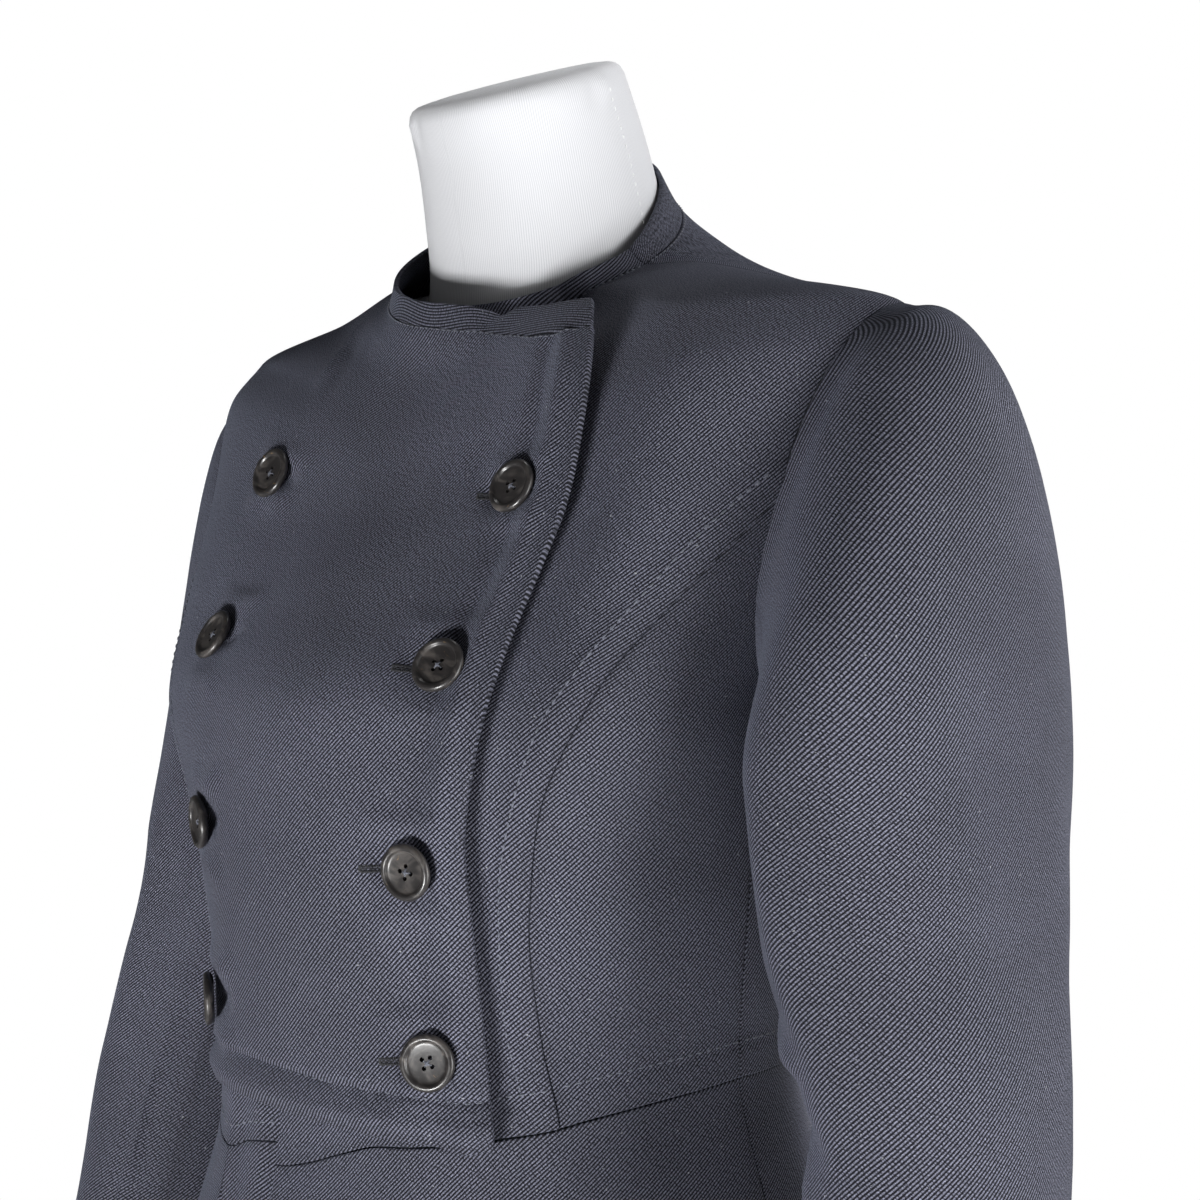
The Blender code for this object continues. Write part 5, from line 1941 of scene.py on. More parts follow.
    def panels(self) -> list[Panel]:
        """Every panel of the coat but the sleeves.

        Returns:
            The panels.
        """
        pairs = []
        for panel in (self.side_front(), self.side_back(), self.back()):
            pairs += [panel, panel.mirrored(panel.name.replace("left", "right"), panel.layer)]
        fronts = [self.bib(), self.front_left(), self.front_right_under()]
        return fronts + pairs + self.bands() + self.skirts()


# Creases of the skirt, as lines of turn and level from the waist to the hem.
def flares(*rows: tuple[tuple[float, float], tuple[float, float], float, float, float]
           ) -> tuple[Fold, ...]:
    """Folds that run out at the hem: two points, the turn at the hem, height and width in mm."""
    return tuple(Fold((top, middle, (hem, 0.0)), height * MM, width * MM, ends_open=True)
                 for top, middle, hem, height, width in rows)


SKIRT_LEFT_FOLDS = (
    Fold(((1.0, 0.196), (-1.5, 0.150), (-2.0, 0.06)), -2.2 * MM, 7.0 * MM),
    *flares(
        ((12.0, 0.190), (11.0, 0.13), 12.0, 4.0, 22.0), ((33.0, 0.16), (34.5, 0.09), 35.0, -6.0, 20.0),
        ((55.0, 0.19), (57.0, 0.10), 57.0, 6.5, 26.0), ((76.0, 0.17), (78.0, 0.09), 80.0, -7.0, 22.0)),
)
SKIRT_RIGHT_FOLDS = flares(
    ((-26.0, 0.19), (-24.0, 0.10), -23.0, 4.0, 18.0), ((-43.0, 0.17), (-42.0, 0.09), -41.0, -6.0, 20.0),
    ((-62.0, 0.18), (-63.0, 0.09), -61.0, 6.5, 27.0), ((-80.0, 0.16), (-81.0, 0.08), -80.0, -6.0, 19.0))
SKIRT_BACK_FOLDS = flares(
    ((100.0, 0.18), (101.0, 0.09), 102.0, 6.0, 22.0), ((121.0, 0.17), (120.0, 0.08), 121.0, -7.0, 22.0),
    ((142.0, 0.19), (141.0, 0.10), 140.0, 7.0, 24.0), ((161.0, 0.16), (162.0, 0.08), 161.0, -6.0, 21.0))


# --- sleeves ---

class Side(Enum):
    """A side of the body, with the sign of its x."""

    LEFT = 1
    RIGHT = -1

    @property
    def word(self) -> str:
        """Its name in lower case."""
        return self.name.lower()


@dataclass(frozen=True)
class Sleeve:
    """A set-in sleeve of two pieces, worked out on the left and mirrored for the right."""

    form: WornForm
    side: Side
    swell: tuple[float, float, float]
    folds: tuple[Fold, ...] = ()
    # x, y, z, half size from side to side, half size from front to back
    sections: Rows = (
        (0.1975, -0.003, 1.163, 0.0510, 0.0820),
        (0.2030, -0.009, 1.110, 0.0495, 0.0725),
        (0.2170, -0.018, 1.055, 0.0443, 0.0580),
        (0.2270, -0.028, 0.995, 0.0418, 0.0530),
        (0.2367, -0.038, 0.930, 0.0400, 0.0505),
        (0.2445, -0.050, 0.865, 0.0388, 0.0490),
        (0.2530, -0.067, 0.785, 0.0372, 0.0478),
    )
    # height, sideways, backwards, slimmer from side to side and from front to back
    right_shift: Rows = (
        (0.78, -0.0125, 0.000, 0.0000, 0.0000),
        (0.93, -0.0150, 0.000, 0.0000, 0.0000),
        (1.055, -0.0140, 0.008, 0.0000, 0.0000),
        (1.17, -0.0085, 0.021, 0.0050, 0.0070),
    )
    clearance: float = 0.5 * MM
    wall: float = 1.6 * MM
    step: float = 3.4 * MM
    upper_steps: int = 42
    lower_steps: int = 22
    cap_rows: int = 56
    head_rise: float = 2.2 * MM
    head_reach: float = 12.0 * MM
    straight_grain: float = 50.0
    dome_start: float = 1.27
    dome_size: float = 0.110
    seam_roll: float = 1.2 * MM
    cuff_roll: float = 0.9 * MM
    cuff_wall: float = 1.0 * MM
    cuff_reach: float = 14.0 * MM
    cuff_bulge: float = 0.5 * MM
    seam_clearance: float = 0.12 * MM
    # Pull of the cloth where it leaves the armhole, at the top and at the underarm.
    leaving_top: float = 0.004
    leaving_under: tuple[float, float, float] = (0.004, 0.0, -0.040)
    # Pull where it joins the tube, at the underarm and at the top, and where its way is read.
    arriving_pull: tuple[float, float] = (0.045, 0.230)
    arriving_lead: float = 0.053
    cap_crowding: float = 1.25

    def loop(self) -> tuple[Array, Array]:
        """Gives the armhole.

        Returns:
            Its points as turn and level, and the angle round the sleeve at each.
        """
        stretches = (
            (0.0, ARMHOLE_NOTCH, self.upper_steps, 0.0, 100.0),
            (ARMHOLE_NOTCH, UNDERARM, self.lower_steps, 100.0, UNDERARM),
            (UNDERARM, 360.0 - ARMHOLE_NOTCH, self.lower_steps, UNDERARM, 260.0),
            (360.0 - ARMHOLE_NOTCH, 360.0, self.upper_steps, 260.0, 360.0),
        )
        points, angles = [], []
        for start, end, steps, first, last in stretches:
            parts = np.linspace(0.0, 1.0, steps + 1)[:-1]
            points.append(Border.of(self.form, armhole(start, end)).at(parts))
            angles.append(first + (last - first) * parts)
        return np.concatenate(points), np.concatenate(angles)

    def tube_sections(self) -> Array:
        """Close cross sections of the tube, from the top down.

        Returns:
            The rings.
        """
        sections = np.array(self.sections)
        if self.side is Side.RIGHT:
            shift = read_table(np.array(self.right_shift), sections[:, 2])
            sections[:, :2] += shift[:, :2]
            sections[:, 3:] -= shift[:, 2:]
        table = np.column_stack([-sections[:, 2], sections[:, :2], sections[:, 3:]])
        count = round((sections[0, 2] - sections[-1, 2]) / self.step)
        heights = np.linspace(sections[0, 2], sections[-1, 2], count + 1)
        rest = read_table(table, -heights)
        return np.column_stack([rest[:, :2], heights, rest[:, 2:]])

    def rings(self) -> tuple[Array, Array]:
        """Gives the worn sleeve as on the left.

        Returns:
            Rings of points from armhole to cuff, and the angle of each column.
        """
        loop, degrees = self.loop()
        angle = np.radians(degrees)
        sign = float(self.side.value)
        start = self.form.point(sign * loop[:, 0], loop[:, 1], -self.clearance)
        start = start * np.array([sign, 1.0, 1.0])
        sections = self.tube_sections()
        centres = sections[:, :3]
        run = unit(np.gradient(centres, axis=0))
        forward = unit(np.array([0.0, -1.0, 0.0]) + run * run[:, 1:2])
        outward = np.cross(forward, run)
        tube = (
            centres[:, None]
            + sections[:, 3, None, None] * np.cos(angle)[None, :, None] * outward[:, None]
            + sections[:, 4, None, None] * np.sin(angle)[None, :, None] * forward[:, None]
        )
        top = (1 + np.cos(angle))[:, None] / 2
        flank = np.sin(angle)[:, None]
        out, sideways, front = self.swell
        leaving = top * np.array([out, 0.0, self.leaving_top])
        leaving = leaving + (1 - top) * np.array(self.leaving_under)
        leaving = leaving + np.abs(flank) * np.array([sideways, 0.0, -0.020])
        leaving = leaving + flank * np.array([0.0, -front, 0.0])
        ahead = round(self.arriving_lead / self.step)
        low, high = self.arriving_pull
        arriving = unit(tube[ahead] - tube[0]) * (low + (high - low) * top)
        parts = np.linspace(0.0, 1.0, self.cap_rows + 1)[:-1] ** self.cap_crowding
        cap = [hermite(start, leaving, tube[0], arriving, part) for part in parts]
        return np.concatenate([np.array(cap), tube]), degrees

    def on_rings(self, grid: Array, degrees: Array) -> Surface:
        """Gives points of the rings by angle and height.

        Args:
            grid: The rings.
            degrees: The angle of each of their columns.

        Returns:
            A function from angles and heights to points.
        """
        heights = grid[..., 2].mean(axis=1)
        closed, angles = np.append(degrees, 360.0), np.arange(len(degrees) + 1)

        def surface(angle: Array, height: Array) -> Array:
            """Points at angles and heights.

            Args:
                angle: Angles round the tube.
                height: Heights to read at.

            Returns:
                The points.
            """
            rows = np.interp(-height, -heights, np.arange(len(heights)))
            columns = np.interp(angle % 360.0, closed, angles)
            i, j = rows.astype(int), columns.astype(int) % grid.shape[1]
            below, beside = np.minimum(i + 1, len(heights) - 1), (j + 1) % grid.shape[1]
            a, b = (rows - i)[:, None], (columns - columns.astype(int))[:, None]
            return (grid[i, j] * (1 - a) * (1 - b) + grid[below, j] * a * (1 - b)
                    + grid[i, beside] * (1 - a) * b + grid[below, beside] * a * b)

        return surface

    def rise(self, grid: Array, degrees: Array) -> Array:
        """How far each point of the rings rises by creases, raised head and unevenness.

        Args:
            grid: The rings.
            degrees: The angle of each of their columns.

        Returns:
            Heights in metres.
        """
        upper = ease((1 + np.cos(np.radians(degrees))) / 2 * 1.6 - 0.1)[None, :]
        from_ridge = (lengths_along(grid) - 0.55 * self.head_reach) / (0.6 * self.head_reach)
        surface = self.on_rings(grid, degrees)
        creases = sum(fold.rise(surface, grid) for fold in self.folds)
        rise = creases + self.head_rise * upper * np.exp(-(from_ridge**2))
        return rise + undulation(grid, 0.10, 0.5 * MM) + undulation(grid, 0.04, 0.12 * MM)

    def build(self, finishes: Finishes) -> None:
        """Args:
            finishes: The materials.
        """
        grid, degrees = self.rings()
        normal = ring_normals(grid[::-1])[::-1]
        skin = grid + normal * self.rise(grid, degrees)[..., None]
        count = grid.shape[1]
        front = self.upper_steps + self.lower_steps // 2
        back = count - front
        for kind, first, last in (("top", back, count + front), ("under", front, back)):
            columns = np.arange(first, last + 1) % count
            cloth = self.cloth_lengths(grid[:, columns], kind == "under")
            name = f"sleeve_{kind}_{self.side.word}"
            obj, base = self.piece(name, skin[:, columns], normal[:, columns],
                                   cloth * np.array([-self.side.value, 1.0]))
            dress(obj, finishes.cloth, [name])
            declare_sheet(obj, base)

    def cloth_lengths(self, grid: Array, inside: bool) -> Array:
        """Gives lengths round and up the cloth.

        Args:
            grid: Rings, or a part of each, as on the left.
            inside: Whether the part faces the body, so that the count starts there.

        Returns:
            Two lengths for each point.
        """
        height = grid[..., 2]
        table = np.array(self.sections)[::-1]
        centre = read_table(table[:, [2, 0, 1, 3, 4]], height)
        above = ease((height - table[-1, 2]) / 0.17)
        x = grid[..., 0] - centre[..., 0] + 0.045 * above
        y = grid[..., 1] - centre[..., 1]
        start = math.pi if inside else 0.0
        angle = np.arctan2(-y, x) - start
        angle = (angle + math.pi) % (2 * math.pi) - math.pi + start
        radius = (centre[..., 2] + centre[..., 3]) / 2
        over = np.clip((height - self.dome_start) / self.dome_size, 0.0, 1.0)
        up = np.where(over > 0, self.dome_start + self.dome_size * np.arcsin(over), height)
        return np.stack([(angle - math.radians(self.straight_grain)) * radius, up], -1)

    def piece(self, name: str, skin: Array, normal: Array,
              cloth: Array) -> tuple[bpy.types.Object, Array]:
        """Makes one piece of the sleeve from its part of the rings.

        Args:
            name: Its name.
            skin: Its outer points, from the armhole down.
            normal: Their normals.
            cloth: Lengths round and up the cloth.

        Returns:
            The object and its base grid.
        """
        mirror = np.array([float(self.side.value), 1.0, 1.0])
        skin, normal = skin * mirror, normal * mirror
        rows = crowded(lengths_along(skin[:, skin.shape[1] // 2]))
        columns = crowded(lengths_along(skin[skin.shape[0] // 2]))
        way = -1 if self.side is Side.LEFT else 1
        skin, normal, cloth = (
            resampled(grid, rows, columns)[::-1, ::way] for grid in (skin, normal, cloth))
        cuff, armhole_side, left, right = border_distances(skin)
        seams = np.minimum(np.minimum(left, right), armhole_side)
        roll = np.maximum(rolled(seams, self.seam_roll), rolled(cuff, self.cuff_roll))
        wall = self.wall + self.cuff_wall * np.exp(-((cuff / self.cuff_reach) ** 2))
        outer, inner = (drawn_in(skin - normal * depth[..., None], self.seam_clearance)
                        for depth in (roll, wall))
        bulge = border_values(*skin.shape[:2], (self.cuff_bulge, 0.0, 0.0, 0.0))
        # Nearness to seams and the cuff: it smooths the cloth there and paints shade into its colour.
        press = np.exp(-np.minimum(seams, cuff) / PRESS_AND_SHADE_REACH)
        return wall_object(name, outer, inner, cloth, press, bulge, PLAIN_RIM), skin


def crowded(runs: Array) -> Array:
    """Line numbers, with parts, that crowd at both ends of runs along a grid.

    Args:
        runs: The length at which each line of the grid lies.

    Returns:
        The line numbers.
    """
    extra = np.cumsum([0.0] + Spacing(3.4 * MM).gaps(runs[-1]))
    inside = (runs[1:-1] > extra[-1]) & (runs[1:-1] < runs[-1] - extra[-1])
    wanted = np.concatenate([extra, runs[1:-1][inside], (runs[-1] - extra)[::-1]])
    return np.interp(wanted, runs, np.arange(len(runs)))


def resampled(grid: Array, rows: Array, columns: Array) -> Array:
    """A grid read at row and column numbers with parts.

    Args:
        grid: The points.
        rows: Row numbers to read.
        columns: Column numbers to read.

    Returns:
        The points read.
    """
    for lines in (rows, columns):
        low = np.minimum(lines.astype(int), len(grid) - 2)
        part = (lines - low)[:, None, None]
        grid = np.swapaxes(grid[low] * (1 - part) + grid[low + 1] * part, 0, 1)
    return grid


# --- fastening ---

@dataclass(frozen=True)
class Fastening:
    """Eight four-hole horn buttons, their thread and the worked buttonholes of one column."""

    form: WornForm
    bib: Panel
    layers: Layers
    places: tuple[ButtonPlace, ...] = BUTTONS
    # Radius and height of the button from its back to its middle, in millimetres.
    profile: Rows = (
        (8.6, 0.0), (9.5, 0.12), (10.7, 0.55), (11.5, 1.2), (11.9, 1.9), (12.0, 2.5), (11.85, 3.1),
        (11.5, 3.6), (11.0, 3.95), (10.4, 4.12), (9.8, 4.08), (9.35, 3.85), (9.05, 3.45),
        (8.8, 3.05), (8.4, 2.82), (7.6, 2.72), (5.8, 2.58), (3.8, 2.50),
    )
    middle_height: float = 2.5
    girth: float = 0.95
    sides: int = 72
    hole_radius: float = 0.95
    hole_offset: float = 1.75
    clearance: float = 0.7 * MM
    slit: tuple[float, float] = (-21.5 * MM, -4.0 * MM)

    def seat(self, place: ButtonPlace) -> Matrix:
        """The matrix that seats a button on the bib.

        Args:
            place: Where the button sits.

        Returns:
            The matrix.
        """
        turn, level = on_bib(self.form, self.layers, place)
        turns = turn + np.array((-3.5, 3.5, 0.0, 0.0, 0.0))
        levels = level + np.array((0.0, 0.0, -0.012, 0.012, 0.0))
        west, east, low, high, middle = self.form.point(
            turns, levels, self.layers.bib_at(turns, levels))
        outward = Vector(np.cross(east - west, high - low)).normalized()
        seat = Vector(middle) + outward * (self.clearance + place.lift)
        rotation = outward.to_track_quat("Z", "Y").to_matrix().to_4x4()
        tilt = Matrix.Rotation(math.radians(place.tilt), 4, "Z")
        spin = Matrix.Rotation(math.radians(place.spin), 4, "Z")
        return Matrix.Translation(seat) @ tilt @ rotation @ spin

    def button_mesh(self) -> bpy.types.Mesh:
        """The turned button with its four holes.

        Returns:
            The mesh.
        """
        rings = np.array([circle(radius, height, self.sides) for radius, height in self.profile])
        points, faces = ring_solid(rings * MM)
        points = points * np.array([self.girth, self.girth, 1.0])
        disc = make_object("button_blank", points, faces, points[:, :2], sharp=50.0)
        cutter = self.hole_cutter()
        cut = disc.modifiers.new("holes", "BOOLEAN")
        cut.operation, cut.object = "DIFFERENCE", cutter
        graph = bpy.context.evaluated_depsgraph_get()
        mesh = bpy.data.meshes.new_from_object(disc.evaluated_get(graph))
        mesh.shade_smooth()
        mesh.set_sharp_from_angle(angle=math.radians(40.0))
        for scrap in (disc, cutter):
            bpy.data.objects.remove(scrap, do_unlink=True)
        return mesh

    def hole_cutter(self) -> bpy.types.Object:
        """Four pins where the thread holes go.

        Returns:
            The pins, as one object that cuts the holes.
        """
        points, faces = [], []
        for x in (-self.hole_offset, self.hole_offset):
            for y in (-self.hole_offset, self.hole_offset):
                rings = np.array([circle(self.hole_radius, height, 20) for height in (-1.0, 6.0)])
                pin, quads = ring_solid((rings + np.array([x, y, 0.0])) * MM)
                faces.append(quads + len(pin) * len(points))
                points.append(pin)
        table = np.concatenate(points)
        return make_object("button_hole_pins", table, np.concatenate(faces), table[:, :2])

    def sewing(self) -> bpy.types.Mesh:
        """Thread that crosses between the holes of a button, in the button's own frame.

        Returns:
            The mesh.
        """
        stitches = Stitches()
        shape = StitchShape(length=3.9 * MM, radius=0.26 * MM, sink=0.7 * MM, proud=0.45 * MM)
        reach, height = 0.8 * self.hole_offset * MM, self.middle_height * MM
        strands = [(way, shift * MM) for way in (-1.0, 1.0) for shift in (-0.24, 0.24)]
        starts = np.array([(shift - reach, -reach * way, height) for way, shift in strands])
        ends = np.array([(shift + reach, reach * way, height) for way, shift in strands])
        stitches.tube(starts, ends, np.tile((0.0, 0.0, 1.0), (len(strands), 1)), shape)
        obj = stitches.build("button_sewing_blank")
        mesh = obj.data
        bpy.data.objects.remove(obj, do_unlink=True)
        return mesh

    def buttonhole(self, stitches: Stitches, slit_shade: Stitches, place: ButtonPlace) -> None:
        """Adds a worked buttonhole beside a button.

        Args:
            stitches: Where its purl stitches go.
            slit_shade: Where a dark tube goes along the slit, painted shade standing for its opening.
            place: The button that it belongs to.
        """
        turn, level = on_bib(self.form, self.layers, place)
        wide = self.form.surface(turn + 0.5, level) - self.form.surface(turn - 0.5, level)
        high = self.form.surface(turn, level + 0.005) - self.form.surface(turn, level - 0.005)
        turn_size, level_size = np.linalg.norm(wide), np.linalg.norm(high) / 0.01

        def on_cloth(across: Array, up: Array | float) -> tuple[Array, Array]:
            """Points of the bib and their normals at metres from the button."""
            turns, levels = turn + across / turn_size, level + up / level_size
            return self.bib.skin(self.form, turns, levels * np.ones(len(turns)))

        purl = StitchShape(length=1.5 * MM, radius=0.27 * MM, sink=0.22 * MM, proud=0.22 * MM)
        runs = np.arange(self.slit[0], self.slit[1], 0.62 * MM)
        for way in (-1.0, 1.0):
            near, normal = on_cloth(runs, way * 0.30 * MM)
            far, _ = on_cloth(runs + 0.15 * MM, way * 1.75 * MM)
            stitches.tube(near, far, normal, purl)
        bar = np.linspace(-1.3, 1.3, 5) * MM
        end = self.slit[0] * np.ones(len(bar))
        first, normal = on_cloth(end - 1.2 * MM, bar)
        last, _ = on_cloth(end + 0.3 * MM, 0.4 * bar)
        stitches.tube(first, last, normal, purl)
        # The slit is a dark tube of thread colour along the cut: painted shade where the opening is.
        gap = StitchShape(length=17.0 * MM, radius=0.34 * MM, sink=0.10 * MM, proud=-0.02 * MM)
        line, normals = on_cloth(np.linspace(*self.slit, 7), 0.0)
        slit_shade.tube(line[:-1], line[1:], normals[:-1], gap)

    def build(self, finishes: Finishes) -> None:
        """Makes the buttons, their thread and the buttonholes.

        Args:
            finishes: The materials.
        """
        mesh, thread = self.button_mesh(), self.sewing()
        for place in self.places:
            seat = self.seat(place)
            button = bpy.data.objects.new(f"{place.name}_horn", mesh.copy())
            sewing = bpy.data.objects.new(f"{place.name}_thread", thread.copy())
            for obj in (button, sewing):
                bpy.context.scene.collection.objects.link(obj)
                obj.data.transform(seat)
            dress(button, finishes.horn, [place.name])
            dress(sewing, finishes.thread)
        stitches, slit_shade = Stitches(), Stitches()
        for place in self.places:
            if place.across > 0:
                self.buttonhole(stitches, slit_shade, place)
        dress(stitches.build("buttonhole_purl"), finishes.dark_thread)
        # The slits: dark tubes that paint the shade of the openings.
        dress(slit_shade.build("buttonhole_slits"), finishes.dark_thread)


# --- rows of stitches ---

@dataclass(frozen=True)
class Topstitching:
    """The rows of stitches that show on the coat."""

    form: WornForm
    panels: dict[str, Panel]
    shape: StitchShape = StitchShape()
    # Turn and level of the row beside the front princess seam.
    princess: Rows = (
        (74.2, 0.5725), (65.3, 0.535), (58.4, 0.499), (51.5, 0.465), (46.2, 0.433), (43.3, 0.395),
        (41.5, 0.35), (42.3, 0.301), (46.0, 0.238),
    )
    waist_rise: float = 0.0210
    hem_rise: float = 0.0232
    band_drop: float = 0.004

    def build(self, finishes: Finishes) -> None:
        """Makes all rows as one piece.

        Args:
            finishes: The materials.
        """
        stitches = Stitches()
        parts = np.linspace(0.0, 1.0, 300)
        princess = smooth_line(self.princess, 300)
        small = replace(self.shape, length=2.3 * MM, pitch=3.3 * MM)
        below_band = BAND_LEVEL - self.band_drop

        def waist(start: float, end: float) -> Array:
            """The row above the waist seam."""
            return by_turn(WAIST_SEAM, start, end, self.waist_rise)(parts)

        def below(start: float, end: float) -> Array:
            """The row below the seam of the neckband."""
            return straight((start, below_band), (end, below_band))(parts)

        rows = [("front_left", princess, self.shape), ("bib_front", princess * MIRROR, self.shape),
                ("front_left", waist(38.0, 52.0), self.shape)]
        for name, start, end in (("side_front_left", 52.6, 89.7), ("side_back_left", 90.3, 132.7),
                                 ("back_left", 133.3, 179.7)):
            rows += [(name, waist(start, end), self.shape),
                     (name.replace("left", "right"), waist(start, end) * MIRROR, self.shape)]
        rows += [
            ("bib_front", by_turn(BIB_HEM, -51.5, 39.5, self.hem_rise)(parts), self.shape),
            ("front_right_under", by_turn(UNDER_WAIST_SEAM, -42.0, 8.0, 0.006)(parts), self.shape),
            ("bib_front", by_turn(BIB_BAND_SEAM, -88.0, 51.0, -self.band_drop)(parts), small),
            ("front_left", below(20.0, 89.0), small),
            ("back_left", below(91.0, 179.0), small),
            ("back_right", below(91.0, 179.0) * MIRROR, small),
        ]
        for panel, line, shape in rows:
            stitches.row(*self.panels[panel].skin(self.form, line[:, 0], line[:, 1]), shape)
        dress(stitches.build("topstitching"), finishes.thread)


# --- dress form ---

@dataclass(frozen=True)
class DressForm:
    """A limbless torso in white jersey on a pole and a round base."""

    form: WornForm
    levels: tuple[float, float] = (0.11, 0.86)
    sides: int = 220
    # level, inset at the front, at the shoulder line and at the back
    insets: Rows = (
        (0.10, 0.040, 0.050, 0.040), (0.16, 0.018, 0.022, 0.014), (0.22, 0.0145, 0.010, 0.008),
        (0.36, 0.0145, 0.012, 0.008), (0.50, 0.0145, 0.022, 0.010), (0.62, 0.0145, 0.018, 0.009),
        (0.71, 0.0145, 0.009, 0.008), (0.77, 0.0145, 0.0034, 0.007), (0.83, 0.0140, 0.0034, 0.006),
        (0.86, 0.0140, 0.0040, 0.008),
    )
    # z of the centre, y of the centre, radius, rise per metre towards the back
    neck: Rows = (
        (1.386, 0.0015, 0.0550, 0.52), (1.400, 0.0000, 0.0527, 0.45), (1.424, -0.0056, 0.0510, 0.38),
        (1.443, -0.0116, 0.0494, 0.36), (1.460, -0.0186, 0.0480, 0.37),
    )
    # share of the last radius, and height over the last ring, round the edge of the neck cap
    cap: Rows = (
        (0.995, 0.0030), (0.975, 0.0058), (0.940, 0.0076), (0.890, 0.0086), (0.80, 0.0092),
        (0.60, 0.0096), (0.35, 0.0098), (0.12, 0.0098),
    )
    cap_lean: float = -0.42
    # angle, height in mm and width in degrees of the small pulls at the neck cap
    pulls: Rows = (
        (-31.0, 1.5, 5.0), (-24.0, -0.8, 4.0), (96.0, 1.2, 6.0), (86.0, -0.8, 5.0), (20.0, 0.3, 9.0),
        (60.0, 0.35, 10.0), (-70.0, -0.6, 8.0),
    )
    pole_y: float = -0.020
    bottom_radius: float = 0.060
    bottom_drop: float = 0.012
    seam_angle: float = 97.0
    # radius and height of the turned parts of the stand, from the bottom up
    base: Rows = (
        (0.160, 0.0), (0.167, 0.0008), (0.170, 0.003), (0.170, 0.0075), (0.1685, 0.0096),
        (0.165, 0.0108), (0.150, 0.0125), (0.120, 0.0160), (0.0935, 0.0189), (0.060, 0.0220),
        (0.0385, 0.0236), (0.020, 0.0240),
    )
    socket: Rows = (
        (0.020, 0.0243), (0.0235, 0.0246), (0.0240, 0.0256), (0.0240, 0.0560),
        (0.0236, 0.0578), (0.0224, 0.0592), (0.0205, 0.0600), (0.014, 0.0600),
    )

    def torso_rings(self) -> list[Array]:
        """Rings of the torso and the neck, from the bottom up.

        Returns:
            The rings.
        """
        turn = np.linspace(0.0, 360.0, self.sides, endpoint=False)
        cosine = np.cos(np.radians(turn))
        rings = []
        for level in np.linspace(*self.levels, 70):
            front, side, back = read_table(np.array(self.insets), level)
            end = np.where(cosine >= 0, front, back)
            inset = side + (end - side) * np.abs(cosine)
            rings.append(self.form.point(turn, np.full(self.sides, level), inset))
        neck = [self.neck_ring(turn, z, *read_table(np.array(self.neck), z))
                for z in np.linspace(self.neck[0][0], self.neck[-1][0], 30)]
        gap = [rings[-1] + (neck[0] - rings[-1]) * ease(part) for part in (0.25, 0.5, 0.75)]
        z, y_centre, radius, rise = self.neck[-1]
        cap = [self.neck_ring(turn, z + up, y_centre + self.cap_lean * up, radius * share, rise)
               for share, up in self.cap]
        return rings + gap + neck + cap

    def neck_ring(self, turn: Array, z: float, y_centre: float, radius: float, rise: float) -> Array:
        """A tilted ring of the neck."""
        angle = np.radians(turn)
        x, y = radius * np.sin(angle), -radius * np.cos(angle)
        return np.stack([x, y_centre + y, z + rise * y], -1)

    def build(self, finishes: Finishes) -> None:
        """Makes the torso, its seam stitches and the stand.

        Args:
            finishes: The materials.
        """
        rings = self.torso_rings()
        centre = np.array([0.0, self.pole_y, rings[0][:, 2].mean()])
        floor = centre[2] - self.bottom_drop
        outwards = unit((rings[0] - centre) * np.array([1.0, 1.0, 0.0]))
        low = [centre + outwards * self.bottom_radius * share for share in (0.2, 0.55, 1.0)]
        for ring in low:
            ring[:, 2] = floor
        grid = np.array(low + rings)
        normal = ring_normals(grid)
        grid = grid + normal * self.tucks(grid)[..., None]
        points, quads = ring_solid(grid)
        up = lengths_along(grid)
        around = np.linspace(0, 0.32, self.sides, endpoint=False) * np.ones((len(grid), 1))
        cloth = np.concatenate([np.stack([around, up], -1).reshape(-1, 2), [[0, 0]], [[0, up.max()]]])
        torso = make_object("form_torso_jersey", points, quads, cloth, sharp=75.0)
        dress(torso, finishes.jersey, ["form_torso"])
        self.build_seam(grid, normal, finishes)
        pole = ((0.0105, 0.0603), (0.0121, 0.0606), (0.0125, 0.0614), (0.0125, floor - 0.0014),
                (0.0121, floor - 0.0006), (0.0105, floor - 0.0003))
        for part, profile in (("base", self.base), ("socket", self.socket), ("pole", pole)):
            obj = turned(f"stand_{part}", profile, self.pole_y)
            dress(obj, finishes.stand, [f"form_{part}"])

    def tucks(self, grid: Array) -> Array:
        """Small pulls where the jersey is drawn round the edge of the neck cap.

        Args:
            grid: The points of the neck.

        Returns:
            How far each is moved.
        """
        angle = np.degrees(np.arctan2(grid[..., 0], -(grid[..., 1] + 0.02)))
        z, y_centre, _, slope = self.neck[-1]
        height = grid[..., 2] - (z + slope * (grid[..., 1] - y_centre))
        rise = sum(depth * MM * np.exp(-(((angle - at) / width) ** 2))
                   for at, depth, width in self.pulls)
        return rise * np.exp(-((height - 0.002) / 0.007) ** 2)

    def build_seam(self, grid: Array, normal: Array, finishes: Finishes) -> None:
        """Makes the stitched seam up the left side of the neck.

        Args:
            grid: The points of the neck.
            normal: Their outward normals.
            finishes: The materials.
        """
        column = round(self.seam_angle / 360.0 * self.sides)
        neck = slice(len(grid) - 36, -7)
        stitches = Stitches()
        shape = StitchShape(length=2.6 * MM, pitch=4.2 * MM, radius=0.28 * MM)
        stitches.row(grid[neck, column], normal[neck, column], shape)
        dress(stitches.build("form_seam_stitches"), finishes.white_thread)


def turned(name: str, profile: Rows, y_centre: float) -> bpy.types.Object:
    """Turns a solid about a vertical axis.

    Args:
        name: The piece's name.
        profile: Radius and height at each step, from its bottom.
        y_centre: The y of its axis.

    Returns:
        The object.
    """
    rings = np.array([circle(radius, z, 96) for radius, z in profile])
    points, quads = ring_solid(rings + np.array([0.0, y_centre, 0.0]))
    return make_object(name, points, quads, points[:, :2], sharp=40.0)


# --- studio ---

@dataclass(frozen=True)
class AreaLight:
    """A soft box."""

    name: str
    place: tuple[float, float, float]
    aim: tuple[float, float, float]
    size: tuple[float, float]
    power: float


